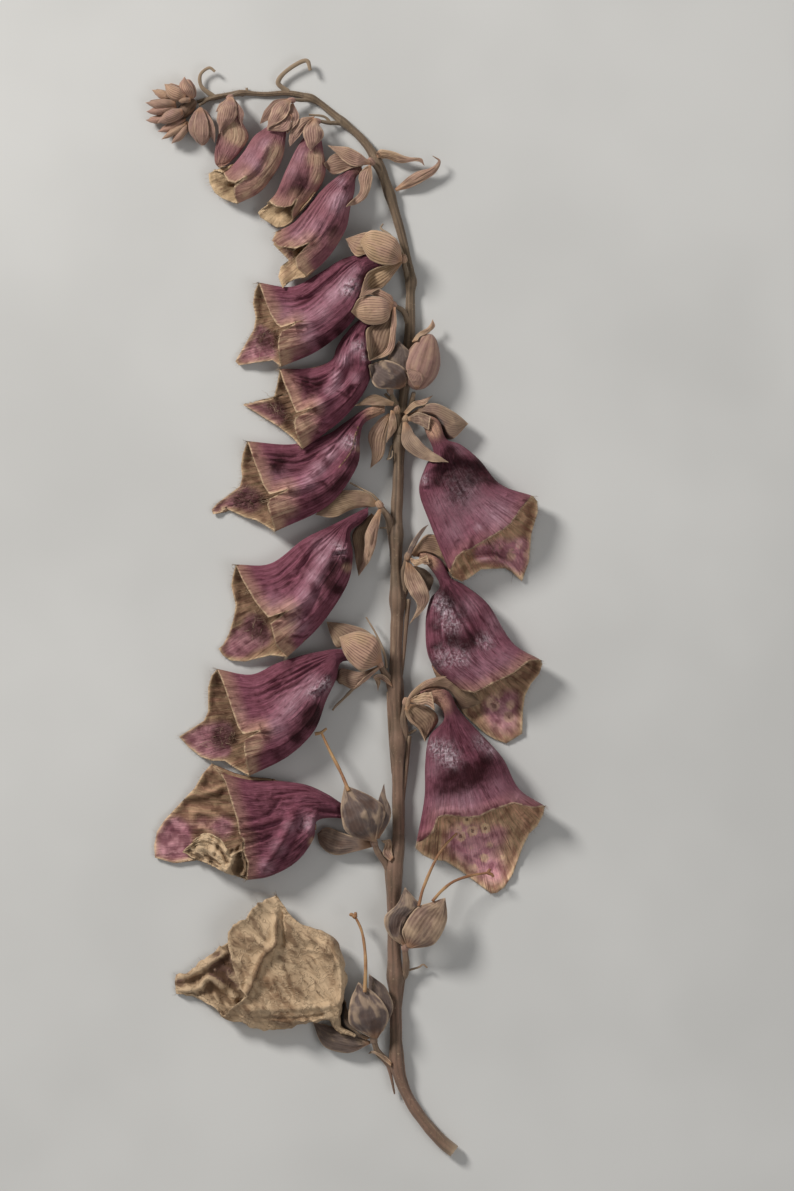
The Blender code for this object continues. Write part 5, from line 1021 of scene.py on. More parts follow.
bellOrder = ["01", "03", "05", "07", "09", "12", "13", "14", "15", "16", "17", "06", "04", "08"]
bellPatches = ("pale", "dark", "glaze", "tan", "blush", "hair", "spots", "warm")


def gridSize(look):
    return (bellMake["youngRows"], bellMake["youngSides"]) if look["young"] else (bellMake["rows"], bellMake["sides"])


def smoothed(grid, reach):  # a closed grid with its fine folds smoothed away
    soft = grid
    for _ in range(reach):
        padded = np.concatenate([soft[:1], soft, soft[-1:]])
        soft = (padded[:-2] + padded[2:] + 2 * soft) / 4
        soft = (np.roll(soft, 1, 1) + np.roll(soft, -1, 1) + 2 * soft) / 4
    return soft


def bellPlan(look, u, v):  # where the points lie in the plan, the sides' lines and the edges of the mouth
    firsts, seconds = (np.reshape(look["stations"], (-1, 2, 2))[:, i] for i in (0, 1))
    edges = {side: [firsts[-1], *look[side], seconds[-1]] for side in ("near", "far")}
    half = len(v) // 2
    shares = (1 - np.cos(math.pi * np.arange(half + 1) / half)) / 2
    mouth = np.vstack([edgeAt(edges["near"], shares), edgeAt(edges["far"], shares)[-2:0:-1]])
    t = (bellMake["neckStart"] + (1 - bellMake["neckStart"]) * u).ravel()
    a, b = curveAt(firsts, t)[:, None, :], curveAt(seconds, t)[:, None, :]
    reach = mouth - (firsts[-1] + (seconds[-1] - firsts[-1]) * v[:, None])
    plan = a + (b - a) * v[None, :, None] + (u**2.6)[..., None] * reach[None]
    x, y = plan[..., 0], plan[..., 1]
    if look["paper"]:
        x, y = x + 0.5 * facets(y * 0.5, x * 0.5, 31), y + 0.5 * facets(x * 0.5, y * 0.5, 32)
    return x, y, a, b, edges


def bellWalls(look, seed, x, y, u, v, rise, rim):  # the heights of the two walls, and marks where the folds run, for painted shade along sunk folds and painted highlight along raised ones
    upper, lift, drop = rise >= 0, np.clip(rise * 3, 0, 1), np.clip(-rise * 3, 0, 1)
    swell = 0.24 + 0.76 * eased(u / 0.5)
    if look["closed"]:
        swell = 0.4 + 0.6 * np.sin(math.pi * np.minimum(u + 0.15, 1.0)) ** 0.7
    sideHeight = look["lift"][0] * (1 - v) + look["lift"][1] * v
    height = look["base"] + (sideHeight - look["base"]) * eased(u / 0.6)
    arch = np.abs(rise)[None, :] ** 0.8 * np.ones_like(u)
    if look["profile"]:
        shaped = np.interp(v, np.linspace(0, 1, len(look["profile"])), look["profile"])
        shaped = np.maximum(shaped, 0) ** 0.9
        arch = np.where(upper, arch + (shaped - arch) * eased(u / 0.5), arch)
    z = np.where(upper, height + look["depth"][0] * swell * arch, height - look["depth"][1] * swell * arch)
    marks = np.zeros_like(z)
    for n, (line, width, raised) in enumerate(look["folds"] + look["lip"]):
        d, s = distanceTo(x, y, line)
        within = lift * eased(s / 0.06 + 0.3) * eased((1 - s) / 0.25)
        if n >= len(look["folds"]):  # on the lip
            within = drop * eased((u - 0.6) / 0.2)
        z = z + within * raised * np.exp(-((d / width) ** 2))
        strength = np.clip(raised * 1.2, -1, 1)
        marks = marks + within * strength * np.exp(-((d / min(width, 0.55)) ** 2)) * min(1, 0.8 / width)
    if look["closed"]:
        return np.maximum(z, 0), marks
    z = z + np.where(upper, 0.35, 0.9) * np.exp(-((rim / 1.3) ** 2)) * eased((u - 0.7) / 0.2)
    z = np.maximum(z, 0)
    if look["young"]:  # the thick lip of an unopened mouth
        z = z + drop * 1.6 * np.exp(-(((rim - 1.9) / 1.7) ** 2)) * eased((u - 0.7) / 0.15)
    return z + drop * 0.5 * eased((u - 0.5) / 0.4) * np.abs(layered(x * 0.22, y * 0.22, seed + 20)), marks


def clearOfLaid(x, y, z, rise):  # lifted over what lies there already
    upper, side, lower = (bellMake[key] for key in ("clearUpper", "clearSide", "clearLower"))
    clearance = np.where(rise > 0.1, upper, np.where(rise > -0.1, side, lower))
    clearance = np.convolve(np.tile(clearance, 3), np.ones(9) / 9, "same")[len(rise) : 2 * len(rise)]
    floor = laid.read(laid.soft, x, y) + clearance
    for _ in range(2):
        z = np.where(z < floor + 2, atLeast(z, floor), z)
    return z


def wrinkled(look, seed, x, y, z, u, v, rise):
    fade = np.clip(np.abs(rise) * 2.2, 0, 1) * eased(u / 0.12)
    weave = v * 15 + 0.6 * grain(u * 5, v * 4, seed)
    fine = crushed(weave * 2.6, u * 8 + grain(weave, u * 3, seed) * 0.5, seed + 1, 2)
    z = z + fade * look["wrinkle"] * (crushed(weave, u * 3.2, seed) - 0.35)
    z = z + fade * look["wrinkle"] * 0.55 * (fine - 0.3)
    lumps = 0.6 * layered(x * 0.3, y * 0.3, seed + 5, 2) + 0.5 * facets(x * 0.45, y * 0.45, seed + 7)
    z = z + fade * look["lumps"] * lumps
    z = z + fade * look["crush"] * (crushed(x * 0.22, y * 0.22, seed + 9, 4) - 0.35) * eased(u / 0.3)
    if look["paper"]:
        sheets = 1.3 * facets(x * 0.14, y * 0.14, 21) + 0.8 * facets(y * 0.32, x * 0.32, 22)
        z = z + fade * (sheets + 0.32 * facets(x * 0.8, y * 0.8, 23))
    elif look["profile"]:  # lengthwise ripples beside the crease of the upper wall
        sag = np.sin(2 * math.pi * (v * 15 + 0.8 * grain(u * 2.5, 0 * v + 3, seed)))
        window = np.exp(-(((v - 0.2) / 0.13) ** 2)) * eased((u - 0.15) / 0.2) * eased((1.0 - u) / 0.3)
        z = z + np.clip(rise * 3, 0, 1) * 0.16 * sag * window
    z = z + fade * 0.5 * patches(x, y, look.get("glaze", [])) * (crushed(x * 0.9, y * 0.9, seed + 2) - 0.3)
    return np.clip(z, 0, bellMake["ceiling"])


def bellSurface(key, look):  # the outer grid of a bell, with what its colours read
    rows, sides = gridSize(look)
    seed = int(key)
    angle = 2 * math.pi * np.arange(sides) / sides
    v, rise = (1 - np.cos(angle)) / 2, np.sin(angle)  # from one side to the other, and up or down
    rise[np.abs(rise) < 1e-9] = 0
    upper = rise >= 0
    u = np.linspace(0, 1, rows)[:, None]
    x, y, a, b, edges = bellPlan(look, u, v)
    rims = {side: np.abs(distanceTo(x, y, edges[side], smooth=False)[0]) for side in ("near", "far")}
    rim = np.where(u < 0.45, 20.0, np.where(upper, rims["near"], rims["far"]))
    z, marks = bellWalls(look, seed, x, y, u, v, rise, rim)
    z = wrinkled(look, seed, x, y, clearOfLaid(x, y, z, rise), u, v, rise)
    surface = np.stack([x, y, z], axis=-1)
    # crest: how far the surface stands out of or sinks into its smoothed self, with the fold marks, for painted
    # highlight and shade
    crest = -((surface - smoothed(surface, 4)) * normalsOf(surface)).sum(axis=-1)
    crest = np.clip(crest / (0.22 if look["paper"] else 0.11) + marks, -1, 1) * np.clip(np.abs(rise) * 3, 0, 1)
    values = {name: patches(x, y, look.get(name, [])) for name in bellPatches}
    values |= {"rim": rim, "crest": crest, "young": np.full_like(z, look["young"]), "lit": np.full_like(z, look["lit"])}
    along = u * np.linalg.norm(np.diff((a + b)[:, 0] / 2, axis=0), axis=1).sum()
    across = v * np.linalg.norm(b - a, axis=2).max() + np.where(upper, 0, 60) + seed * 11
    return surface, values, np.stack([along + 0 * v, across + 0 * u], axis=-1), rise


hairMake = {  # how many, and from what to what length
    "tangle": 0.14, "tangleLong": (1.6, 4.2), "fringe": 0.85, "fringeLong": (0.4, 1.3),
    "down": 900, "downLong": (0.25, 0.6),
}
hairBeds = {"tangles": [], "fringes": []}  # rows of root, aim and length
dice = np.random.default_rng(41)


def hairRoots(outer, inside, values, rise):  # tangles in the lower half of the mouth, and a fringe on its edge
    rows = len(outer)
    onward = unit(np.gradient(inside, axis=0))
    thick = values["hair"] * hairMake["tangle"] * (rise[None, :] < -0.05) * (np.arange(rows)[:, None] > rows * 0.55)
    picked = dice.random(thick.shape) < thick
    root, aim = inside[picked], onward[picked]
    aim = unit(aim * 0.5 + dice.normal(0, 0.6, aim.shape) * (1, 1, 0.3) + (0, 0, 0.35))
    hairBeds["tangles"].append(np.hstack([root, aim, dice.uniform(*hairMake["tangleLong"], (len(root), 1))]))
    picked = dice.random(outer.shape[1]) < hairMake["fringe"]
    root, aim = outer[-1, picked], unit(outer[-1] - outer[-5])[picked]
    aim = unit(aim + dice.normal(0, 0.45, aim.shape) + (0, 0, 0.1))
    hairBeds["fringes"].append(np.hstack([root, aim, dice.uniform(*hairMake["fringeLong"], (len(root), 1))]))


def flatRows(grid, start=0):  # a grid as one list of points, from this row on
    return grid[start:].reshape(-1, grid.shape[-1])


def wallInside(outer, rise):  # the inner face of a bell's wall
    rows, sides = outer.shape[:2]
    wall = bellMake["wall"]
    normal = -normalsOf(outer)
    wrong = (np.abs(rise)[None, :] > 0.3) & (normal[..., 2] * np.sign(rise)[None, :] < 0.15)
    normal[wrong] = np.stack([0 * rise, 0 * rise, np.sign(rise)], axis=-1)[None].repeat(rows, 0)[wrong]
    middle = (outer + np.roll(outer, sides // 2, 1)) / 2
    aside = ((outer - middle)[..., :2] * normal[..., :2]).sum(axis=-1) < 0
    normal[aside & (np.abs(rise)[None, :] <= 0.3)] *= -1
    inside = outer - wall * normal
    inside[..., 2] = np.maximum(inside[..., 2], wall * 0.8)
    return inside


def bellPiece(key, look):
    rows, sides = gridSize(look)
    outer, values, uv, rise = bellSurface(key, look)
    count, lastRow = rows * sides, (rows - 1) * sides
    faces = gridFaces(rows, sides, flip=True) + [list(range(sides))]
    shells = Shells()
    if look["closed"]:
        shells.add(flatRows(outer), faces + [list(range(lastRow, count))[::-1]], flatRows(uv), inner=0.0, **values)
    else:
        inside = wallInside(outer, rise)
        faces += gridFaces(rows - 1, sides, start=count) + [list(range(count, count + sides))[::-1]]
        innerRim = count + lastRow - sides
        for s in range(sides):
            n = (s + 1) % sides
            faces.append([lastRow + n, lastRow + s, innerRim + s, innerRim + n])
        doubled = {name: np.concatenate([grid.ravel(), grid[1:].ravel()]) for name, grid in values.items()}
        within = np.concatenate([np.zeros(count), np.ones(lastRow)])
        points, uv = (np.vstack([flatRows(one), flatRows(other, 1)]) for one, other in ((outer, inside), (uv, uv)))
        shells.add(points, faces, uv, inner=within, **doubled)
        hairRoots(outer, inside, values, rise)
    name = "corolla_" + key
    laid.add(flatRows(outer), name)
    material = parchmentMaterial if look["paper"] else petalMaterial
    return shown("petals_" + key, shells.mesh("petals_" + key, material), name, name)


petalPieces = {key: bellPiece(key, bells[key]) for key in bellOrder}
print("bells made:", sum(len(piece.data.polygons) for piece in petalPieces.values()), "faces")


# thin pointed sheets between two edges: sepals laid over or tucked under the bells, bracts and bud scales

sheetMake = {
    "rows": 44, "columns": 33, "smallRows": 22, "smallColumns": 13, "thick": 0.2, "gap": 0.2, "rib": 0.05,
    "ceiling": 11.8, "laidCeiling": 11.3, "openRoof": 12.0,
}


def sheetFaces(rows, columns, up):  # the two faces of a thin sheet and its rim, wound to point outwards
    count = rows * columns
    faces = gridFaces(rows, columns, wrap=False, flip=not up)
    faces += gridFaces(rows, columns, start=count, wrap=False, flip=up)
    loop = list(range(columns)) + [r * columns + columns - 1 for r in range(1, rows)]
    loop += [(rows - 1) * columns + c for c in range(columns - 2, -1, -1)]
    loop += [r * columns for r in range(rows - 2, 0, -1)]
    rim = [[b, a, a + count, b + count] for a, b in zip(loop, loop[1:] + loop[:1])]
    return faces + (rim if up else [face[::-1] for face in rim])


def sheetShell(shells, left, right, heights, lay="over", name=None, *, seed, cup=0.25, rough=0.3, veins=9, flutter=0.35,
               grey=0.0, lining=0.0, rosy=0.0, veined=None, small=False):
    rows, columns = (sheetMake[key] for key in (("smallRows", "smallColumns") if small else ("rows", "columns")))
    thick = sheetMake["thick"]
    t = np.linspace(0, 1, rows)[:, None]
    one, two = curveAt(left, t.ravel()), curveAt(right, t.ravel())
    w = np.linspace(-1, 1, columns)[None, :]
    share = (w + 1) / 2
    across = two - one
    width = np.linalg.norm(across, axis=1, keepdims=True)
    x = one[:, :1] + across[:, :1] * share
    y = one[:, 1:] + across[:, 1:] * share
    wobble = 0.05 * np.minimum(width, 3) * eased(t / 0.15) * eased((1 - t) / 0.15)
    x = x + wobble * grain(t * 7, np.sign(w) * 2 + 0 * t, seed + 1) * np.abs(w) ** 2
    y = y + wobble * grain(t * 7, np.sign(w) * 2 + 0 * t, seed + 2) * np.abs(w) ** 2
    half = width / 2
    z = np.interp(t, np.linspace(0, 1, len(heights)), heights) + cup * half * (1 - w**2)
    if lay == "over":
        floor = laid.read(laid.soft, x, y) + sheetMake["gap"] + thick
        z = np.where(t > 0.03, atLeast(z, np.minimum(floor, sheetMake["laidCeiling"]), 0.3), z)
    roof = np.full_like(z, sheetMake["openRoof"])
    if lay == "under":
        roof = laid.read(laid.under[name], x, y) - sheetMake["gap"]
    z = np.where(t > 0.03, np.minimum(z, roof), z)
    fade = eased(t / 0.1) * eased((1 - t) / 0.08 + 0.15) * np.minimum(width / 3, 1)
    ridge = np.cos(w * veins * math.pi) * 0.7 + grain(w * veins, t * 2.5, seed) * 0.5
    folds = crushed(w * 1.2 + 0.5 * grain(t * 3, w * 2, seed + 4), t * 2.4, seed + 3, 4) - 0.35
    folds = folds + 0.4 * facets(x * 0.5, y * 0.5, seed)
    z = z + fade * (sheetMake["rib"] * ridge + rough * folds)
    z = z + fade * flutter * np.abs(w) ** 4 * grain(t * 5, np.sign(w) * 3 + 0 * t, seed + 6)
    z = np.maximum(np.minimum(np.minimum(z, sheetMake["ceiling"]), roof + 0.15), thick + 0.02)
    top = np.stack([x, y, z], axis=-1)
    normal = normalsOf(top, wrap=False)
    normal *= np.where(normal[..., 2:] < 0, -1.0, 1.0)
    low = top - thick * normal
    low[..., 2] = np.maximum(low[..., 2], 0.0)
    r, c = rows // 2, columns // 2
    up = np.cross(top[r, c] - top[r - 1, c], top[r, c + 1] - top[r, c])[2] < 0  # whether the grid winds upwards
    middle = (one + two) / 2
    length = np.concatenate([[0], np.cumsum(np.linalg.norm(np.diff(middle, axis=0), axis=1))])[:, None]
    uv = np.stack([length + seed * 7 + 0 * w, w * veins / 2 + 40 + 0 * t], axis=-1).reshape(-1, 2)
    # crest: how raised the folds are, painted as highlight and shade
    crest, along, edge = (np.tile((value + 0 * t + 0 * w).ravel(), 2) for value in (
        np.clip((folds + 0.1) * rough * 3, -1, 1), t, np.maximum(np.abs(w), eased((t - 0.75) / 0.25))))
    below = np.repeat([0.0, 1.0], rows * columns)
    # the under face is painted half in shade, and tucked sheets as much as asked
    shells.add(
        np.vstack([top.reshape(-1, 3), low.reshape(-1, 3)]), sheetFaces(rows, columns, up), np.vstack([uv, uv]),
        crest=crest, along=along, edge=edge, grey=grey, rosy=rosy, lining=np.maximum(below * 0.5, lining),
        veined=max(0.1, 1 - 0.7 * grey) if veined is None else veined,
    )
    return top.reshape(-1, 3)


podMake = {"rows": 30, "columns": 40, "power": 0.85}


def podShell(shells, start, end, across, up, *, seed, blunt, ribs=5, depth=0.06, veins=10, **values):  # a closed pod
    rows, columns = podMake["rows"], podMake["columns"]
    start, end = np.asarray(start, float), np.asarray(end, float)
    ahead = (end - start) / np.linalg.norm(end - start)
    side = np.cross(ahead, (0, 0, 1))
    side /= np.linalg.norm(side)
    over = np.cross(side, ahead)
    t = np.linspace(0, 1, rows)[:, None]
    angle = (2 * math.pi * np.arange(columns) / columns)[None, :]
    rib = np.cos(angle * ribs + grain(t * 2, 0 * t, seed) * 2) * 0.5
    rib = rib + layered(np.cos(angle) * 2 + 5, np.sin(angle) * 2 + t * 4, seed) * 0.7
    swell = (blunt + (1 - blunt) * np.sin(math.pi * t ** podMake["power"]) ** 0.8) * (1 + depth * rib)
    swell = swell * (np.sqrt(np.clip(np.minimum(t, 1 - t) / 0.06, 0, 1)) * 0.4 + 0.6)
    grid = start + (end - start) * t[..., None] + (swell * np.cos(angle))[..., None] * across * side
    grid = grid + (swell * np.sin(angle))[..., None] * up * over
    grid[..., 2] = np.maximum(grid[..., 2], 0)
    count = rows * columns
    faces = gridFaces(rows, columns)
    faces += [[count, (c + 1) % columns, c] for c in range(columns)]
    faces += [[count + 1, count - columns + c, count - columns + (c + 1) % columns] for c in range(columns)]
    length, wrapped = np.linalg.norm(end - start), np.abs((angle / math.pi + 0.5) % 2 - 1) * veins / 2
    uv = np.stack([t * length + seed * 7 + 0 * angle, wrapped + 40 + 0 * t], axis=-1).reshape(-1, 2)
    crest, along = (np.append(value + 0 * t + 0 * angle, [0.5, 0.5]) for value in (rib * 0.3, 0.2 + t * 0.5))
    points = np.vstack([grid.reshape(-1, 3), grid[0].mean(0), grid[-1].mean(0)])
    shells.add(points, faces, np.vstack([uv, uv[:2]]), crest=crest, along=along, **values)
    return points


calyxLook = {
    "grey": {"01": 1.5, "02": 1.05, "03": 1.2, "11": 1.45, "08": 0.75, "06": 1.1, "04": 0.3, "05": 0.05, "13": 0,
             "12": 0.15, "07": 0.3, "09": 0.4, "15": 0.45, "16": 0.4, "17": 0.4},
    "rosy": {"15": 0.8, "16": 1, "17": 1, "12": 0.3, "14": 0.4}, "otherGrey": 0.35, "across": 0.95, "up": 0.9,
}
sepalSheets = {}
sepalSheets["01"] = [
    sheet("6.4 -107.6, 1.8 -105.7, -3.8 -103.9, -8 -103.2 / 6.4 -108.2, 1.1 -110.6, -5.2 -109.1 / "
        "4 2.5 1.3", "under", lining=0.25),
    sheet("6.4 -106.6, 2.6 -104.4, 0.6 -99.6, -0.4 -97 / 5.4 -107.2, -1.1 -104.3, -3.4 -101.4 / "
        "5 3.6", "under", lining=0.8, veins=7, pointed=False),
    sheet("8 -104, 6 -95.7, 6 -90.7 / 9.6 -105, 12 -99.2, 10.2 -94.1 / 5.1 5.7 5.1", lining=0.15),
    sheet("7 -106.8, 1.3 -102.9, 1.5 -97.1, 3.4 -92.6 / 8.2 -106.8, 11 -101.1, 8.5 -96.3 / "
        "5.6 7.2 7.8 7 6.4", cup=0.3, rough=0.6, veins=7),
]
sepalSheets["02"] = [
    sheet("14.8 -84, 10.9 -80.8, 9.9 -76.5, 12.9 -73.2, 15 -69 / 15.2 -83.4, 14.6 -79.8, 16.5 -76.1, 18.8 -73.8, "
        "17.2 -71.6 / 5.4 6.6 7 6.4", rough=0.45, grey=1.1),
    sheet("15.4 -84, 14.5 -79.4, 17.6 -74.3, 21.1 -72.7, 25 -71.6 / 16.2 -84.4, 21.8 -83.4, 24.6 -79.5, 25.5 -75.5 / "
        "5.8 7.6 7.8 7", rough=0.45, cup=0.3, grey=0.75),
]
sepalSheets["03"] = [
    sheet("6.6 -57.8, 0.8 -56.2, -4.3 -54.4, -7 -56 / 6.8 -59.2, 2 -60.6, -2.6 -61.4, -5.9 -59.1 / "
        "4 2.4 1.5", "under", lining=0.2, grey=1),
    sheet("7.9 -57, 8.1 -48.6, 9.8 -43.2 / 8.6 -57, 11.4 -51.1, 10.3 -46.5 / 6 7 7.4 7"),
    sheet("7 -57.8, 0.8 -55.6, -1 -49.9, 0 -43.4 / 7.9 -57.8, 9.8 -48.9 / 6 7.6 8.2 7.6", rough=0.6, cup=0.3, veins=11),
]
sepalSheets["04"] = [
    sheet("15 -22.8, 20.5 -17.8, 27.4 -16.7, 34 -23.2 / 16 -23, 19.4 -21, 23 -20.2, 26.4 -22, 29.6 -24.8 / "
        "4.6 3.7 3.1", "under", lining=0.75, veins=12),
    sheet("14.9 -23.8, 15.5 -27.2, 18.4 -29.9, 20 -33 / 16.4 -23.4, 21.2 -24.4, 23.2 -27.6 / "
        "5.1 4.9 4", "under", lining=0.55),
    sheet("14.7 -25.2, 16.1 -21.1, 20.3 -17.5, 25.4 -16.6 / 15.6 -25, 17.5 -21, 21 -18.7 / "
        "6 7 7.6 7.6 6", veins=4, grey=0.2),
    sheet("16.2 -22.4, 19 -20.9, 21.6 -20.4 / 16.4 -23, 18.4 -23.8, 20.4 -23.6, 22.4 -25.2 / "
        "6.5 7.8 8.4", grey=0, veins=5, lining=0.1, rough=0.5, pointed=False),
    sheet("15 -24.4, 15.8 -27.3, 18.5 -29.9, 20 -33 / 15.4 -24.2, 16.6 -27.1, 19 -29.7 / "
        "6.1 6.3 5.4", veins=3, small=True),
]
sepalSheets["05"] = [
    sheet("8.6 -12, 6.8 -6.2, 1.3 -3.7, -4.6 -3 / 7 -12.6, 1 -9.3, -2 -9.5, -3.6 -6.5 / "
        "4.6 2.9", "under", lining=0.45, grey=0.5),
    sheet("8.2 -14.2, 3.7 -15.5, -0.9 -14.7, -2.3 -17.4 / 8.2 -14.8, 5.4 -17.4, 2.4 -19.8, 0 -19, -1.4 -18.6 / "
        "4.5 3.3 2.4", "under", lining=0.45, grey=0.5),
    sheet("9.4 -12.8, 8.2 -7.2, 3.4 -5.5, -1.4 -6.8 / 8.6 -13.6, 4.1 -15.2, 0.1 -11.6 / "
        "6 8.4 8.8 7.6", cup=0.4, rough=0.22, veins=13),
    sheet("8.6 -14.2, 4.7 -17.1, 2 -19.8 / 8.8 -14.6, 5.2 -17.9 / 5 3.1", veins=3, small=True),
]
sepalSheets["06"] = [
    sheet("16.4 14, 20.5 18.7, 25.4 16.6, 26.8 9.7 / 17 13.2, 20.3 13, 23.4 11.6, 24.8 9.5 / "
        "4.5 3.3", "under", lining=0.5, veins=12, grey=0.2),
    sheet("17.4 11, 20 10, 22 7.6, 21.4 5 / 17 10.4, 18.4 6.7, 20.6 4 / 4.5 3.9 4", "under", lining=0.9, pointed=False),
    sheet("15.2 12, 14.8 7.2, 16.1 3.9, 17.9 0.7, 16 -3.8 / 16.6 11.4, 19.8 7.2, 21 2 / "
        "5.6 7 7.4 6.4 5.6", rough=0.5, grey=0.5),
    sheet("15 12, 16.2 16, 18.8 19.8, 20.8 21.2 / 15.7 12, 18.6 17.7 / 5.5 5.8 5", veins=3, small=True),
    sheet("16.2 12.8, 18.1 12.5, 20.4 13.6 / 16.4 12, 17.6 10.8, 19.4 11.4, 21 11.2 / "
        "6.3 7.3 7.6", grey=0, rough=0.5, veins=4, pointed=False),
]
sepalSheets["07"] = [
    sheet("8.4 26.6, 5.6 29.2, 1.6 29.8, -2 28.8, -7.4 23.6 / 8 25.6, 2.7 25.2, -2.7 23 / "
        "5.1 5.3 4.4", "under", lining=0.55, veins=12),
    sheet("6.6 24, 2.2 19.5, 2.4 14.1, 3.4 8.2 / 7.4 23.4, 6.1 18.8, 5.8 14.3 / 4.3 3.1 2.2", "under", lining=0.7),
    sheet("8.3 25, 5.3 19.4, 4.9 14.7, 3.4 8.2 / 9.2 25, 7.3 14.4 / 6.1 6.3 4.8 3", rough=0.45, cup=0.35),
]
sepalSheets["08"] = [
    sheet("16.2 48.8, 21.7 51.4, 27.1 49.4, 30.8 46.3 / 16.4 47.4, 22.3 44.7, 26.5 42.4 / "
        "4.9 4.2", "under", veins=13, rough=0.2, lining=0.1),
    sheet("14.4 46.6, 14.4 40.8, 19.5 37.1, 25.8 36.5 / 15.4 46.8, 19.5 41.1 / 5.8 8 9.4 10", veins=9, cup=0.2),
    sheet("15.6 47.8, 18.4 49, 21.4 48 / 15.8 47, 18.5 45.9, 20.8 44.6 / "
        "6.3 7.5 7.8", veins=5, rough=0.5, pointed=False),
]
sepalSheets["09"] = [
    sheet("12.4 51.6, 7.1 53.5, 2.6 50.6 / 12 50.6, 6.9 50.8 / 6.1 6.6 6", lining=0.5, veins=7),
    sheet("11 49, 8 46.8, 5.8 43.2, 6.7 38.9, 6.3 35.1 / 11.2 48.4, 10.3 43.2, 9.5 38.3 / "
        "5.4 3.8", lining=0.1, rough=0.2, veins=7),
    sheet("11.4 49.6, 10.8 45.5, 10.3 41.4 / 12.4 49.4, 12.9 45.2 / 6.6 7.2 6.8 6", veins=6, cup=0.5),
]
sepalSheets["11"] = [
    sheet("13.2 56, 10.6 61.9, 13.4 66.9 / 15.2 56, 16.8 60, 16.9 63.4 / 5.5 6.1 5.6", lining=0.15),
    sheet("15.2 55.6, 15 59.8, 10.3 62, 6 60.6 / 13.6 54.8, 7.7 55.2 / 6 7.4 7.6 6.6", rough=0.5, cup=0.3, veins=10),
]
sepalSheets["12"] = [
    sheet("11.8 74.8, 8.4 71.4, 5.4 69.6, 5.5 66.2, 6.2 61.6 / 12.7 74.8, 12.8 69.4, 11.6 64.3 / "
        "5.6 5.9 5.5", lining=0.7, rough=0.3),
    sheet("11.9 75.2, 11.4 69.8, 10.3 64.7, 6.2 61.6 / 12.7 75.2, 12.8 69.5, 11.6 64 / 6.5 7.1 6.8", veins=3),
    sheet("12.2 76, 11.5 78.1, 8.2 79.7, 5.6 78.6 / 12 75.8, 8.6 77.5 / 6.1 6.6 6", veins=4, lining=0.3),
    sheet("12 75.6, 9.1 77.5, 4.3 77.6, 1.6 73.8 / 11.9 75, 10 71.3, 5.3 70.9 / "
        "6.4 8 8.4 7.6", cup=0.35, veins=11, rough=0.22),
]
sepalSheets["13"] = [
    sheet("14 88, 10.9 93.4, 5.2 93.9, 0.1 92.3 / 13.6 87.6, 7.5 89, 3 88 / 5.1 5.6 5", lining=0.3, veins=7),
    sheet("14.2 86.8, 6.2 84, 3.6 77.4 / 14.4 86.4, 10.5 81.2, 6.8 78.7 / 4.6 3.9", lining=0.35, rough=0.2, veins=7),
    sheet("14.4 87.4, 12.7 92.2, 6.8 94.2, 3.6 91.4 / 14.2 86.6, 10.5 85.5, 6.3 87 / "
        "6 8.2 8.8 8.2", cup=0.35, veins=12, rough=0.22),
]
sepalSheets["14"] = [
    sheet("4.6 111.4, -2.1 113.6, -5.2 111 / 4.4 110.4, 1 109.6, -3 108.4 / 4.5 4.6 4", lining=0.5),
    sheet("6.5 111.4, 2.2 114.4, -4.3 115.5 / 6.2 110.7, 1.6 110.4 / 5.4 6.6 6.4 6", veins=8),
    sheet("5.9 110.6, 3.7 108, 3.6 104, 0.3 99.9 / 6.6 110.6, 6.7 106.4, 5 102 / 5.6 6.4 6.2 5.6", veins=6),
]
sepalSheets["15"] = [
    sheet("-7.4 122.9, -11.3 122.1, -13.7 118.6, -13.7 115.2 / -8 122, -10.5 118.6 / 4.6 5.8 5.8 5.2", veins=6),
    sheet("-7.9 122.4, -10.3 119.1, -9.6 116, -8.5 114 / -7 122.4, -5.3 117.8 / 4.8 6.6 6.8 6.2", veins=8, cup=0.4),
]
sepalSheets["16"] = [
    sheet("-13.6 127.4, -17.4 127, -20.2 124, -21.2 121 / -14 126.4, -16.8 124.6, -18.4 122.4 / "
        "3.9 4.2 3.4", lining=0.45, veins=6),
    sheet("-13.4 126, -15 121.7, -14.4 118.4 / -12.8 126.2, -11.3 122.2 / 4.4 5.8 6 5.4", veins=6, cup=0.4),
    sheet("-13.8 124, -17.4 121.5, -19.4 119.2 / -12.8 123, -14.2 119.2 / 5 6.2 6.2 5.8", veins=7, cup=0.35),
    sheet("-13.8 127.2, -17.2 125.8, -18.7 122.6, -19.4 119.4 / -13.2 126.8, -13.8 124, -15 122 / "
        "4.8 6.8 7 6.2", veins=8, cup=0.45),
]
sepalSheets["17"] = [
    sheet("-28.2 127.8, -27 123.9, -25.7 120.2 / -27.8 127.6, -25.2 124 / 3.8 5 5.2 4.8", veins=5),
    sheet("-28.8 127.9, -31.3 125.8, -32.2 124 / -28.4 127.8, -30.3 124.6 / 3.9 4.4 3.8", veins=4, small=True),
    sheet("-28.8 127.9, -31.7 123.7, -31.3 118.4 / -27.9 127.8, -26.8 125, -27.4 122 / 4 5.8 5.8 5", veins=9, cup=0.45),
]


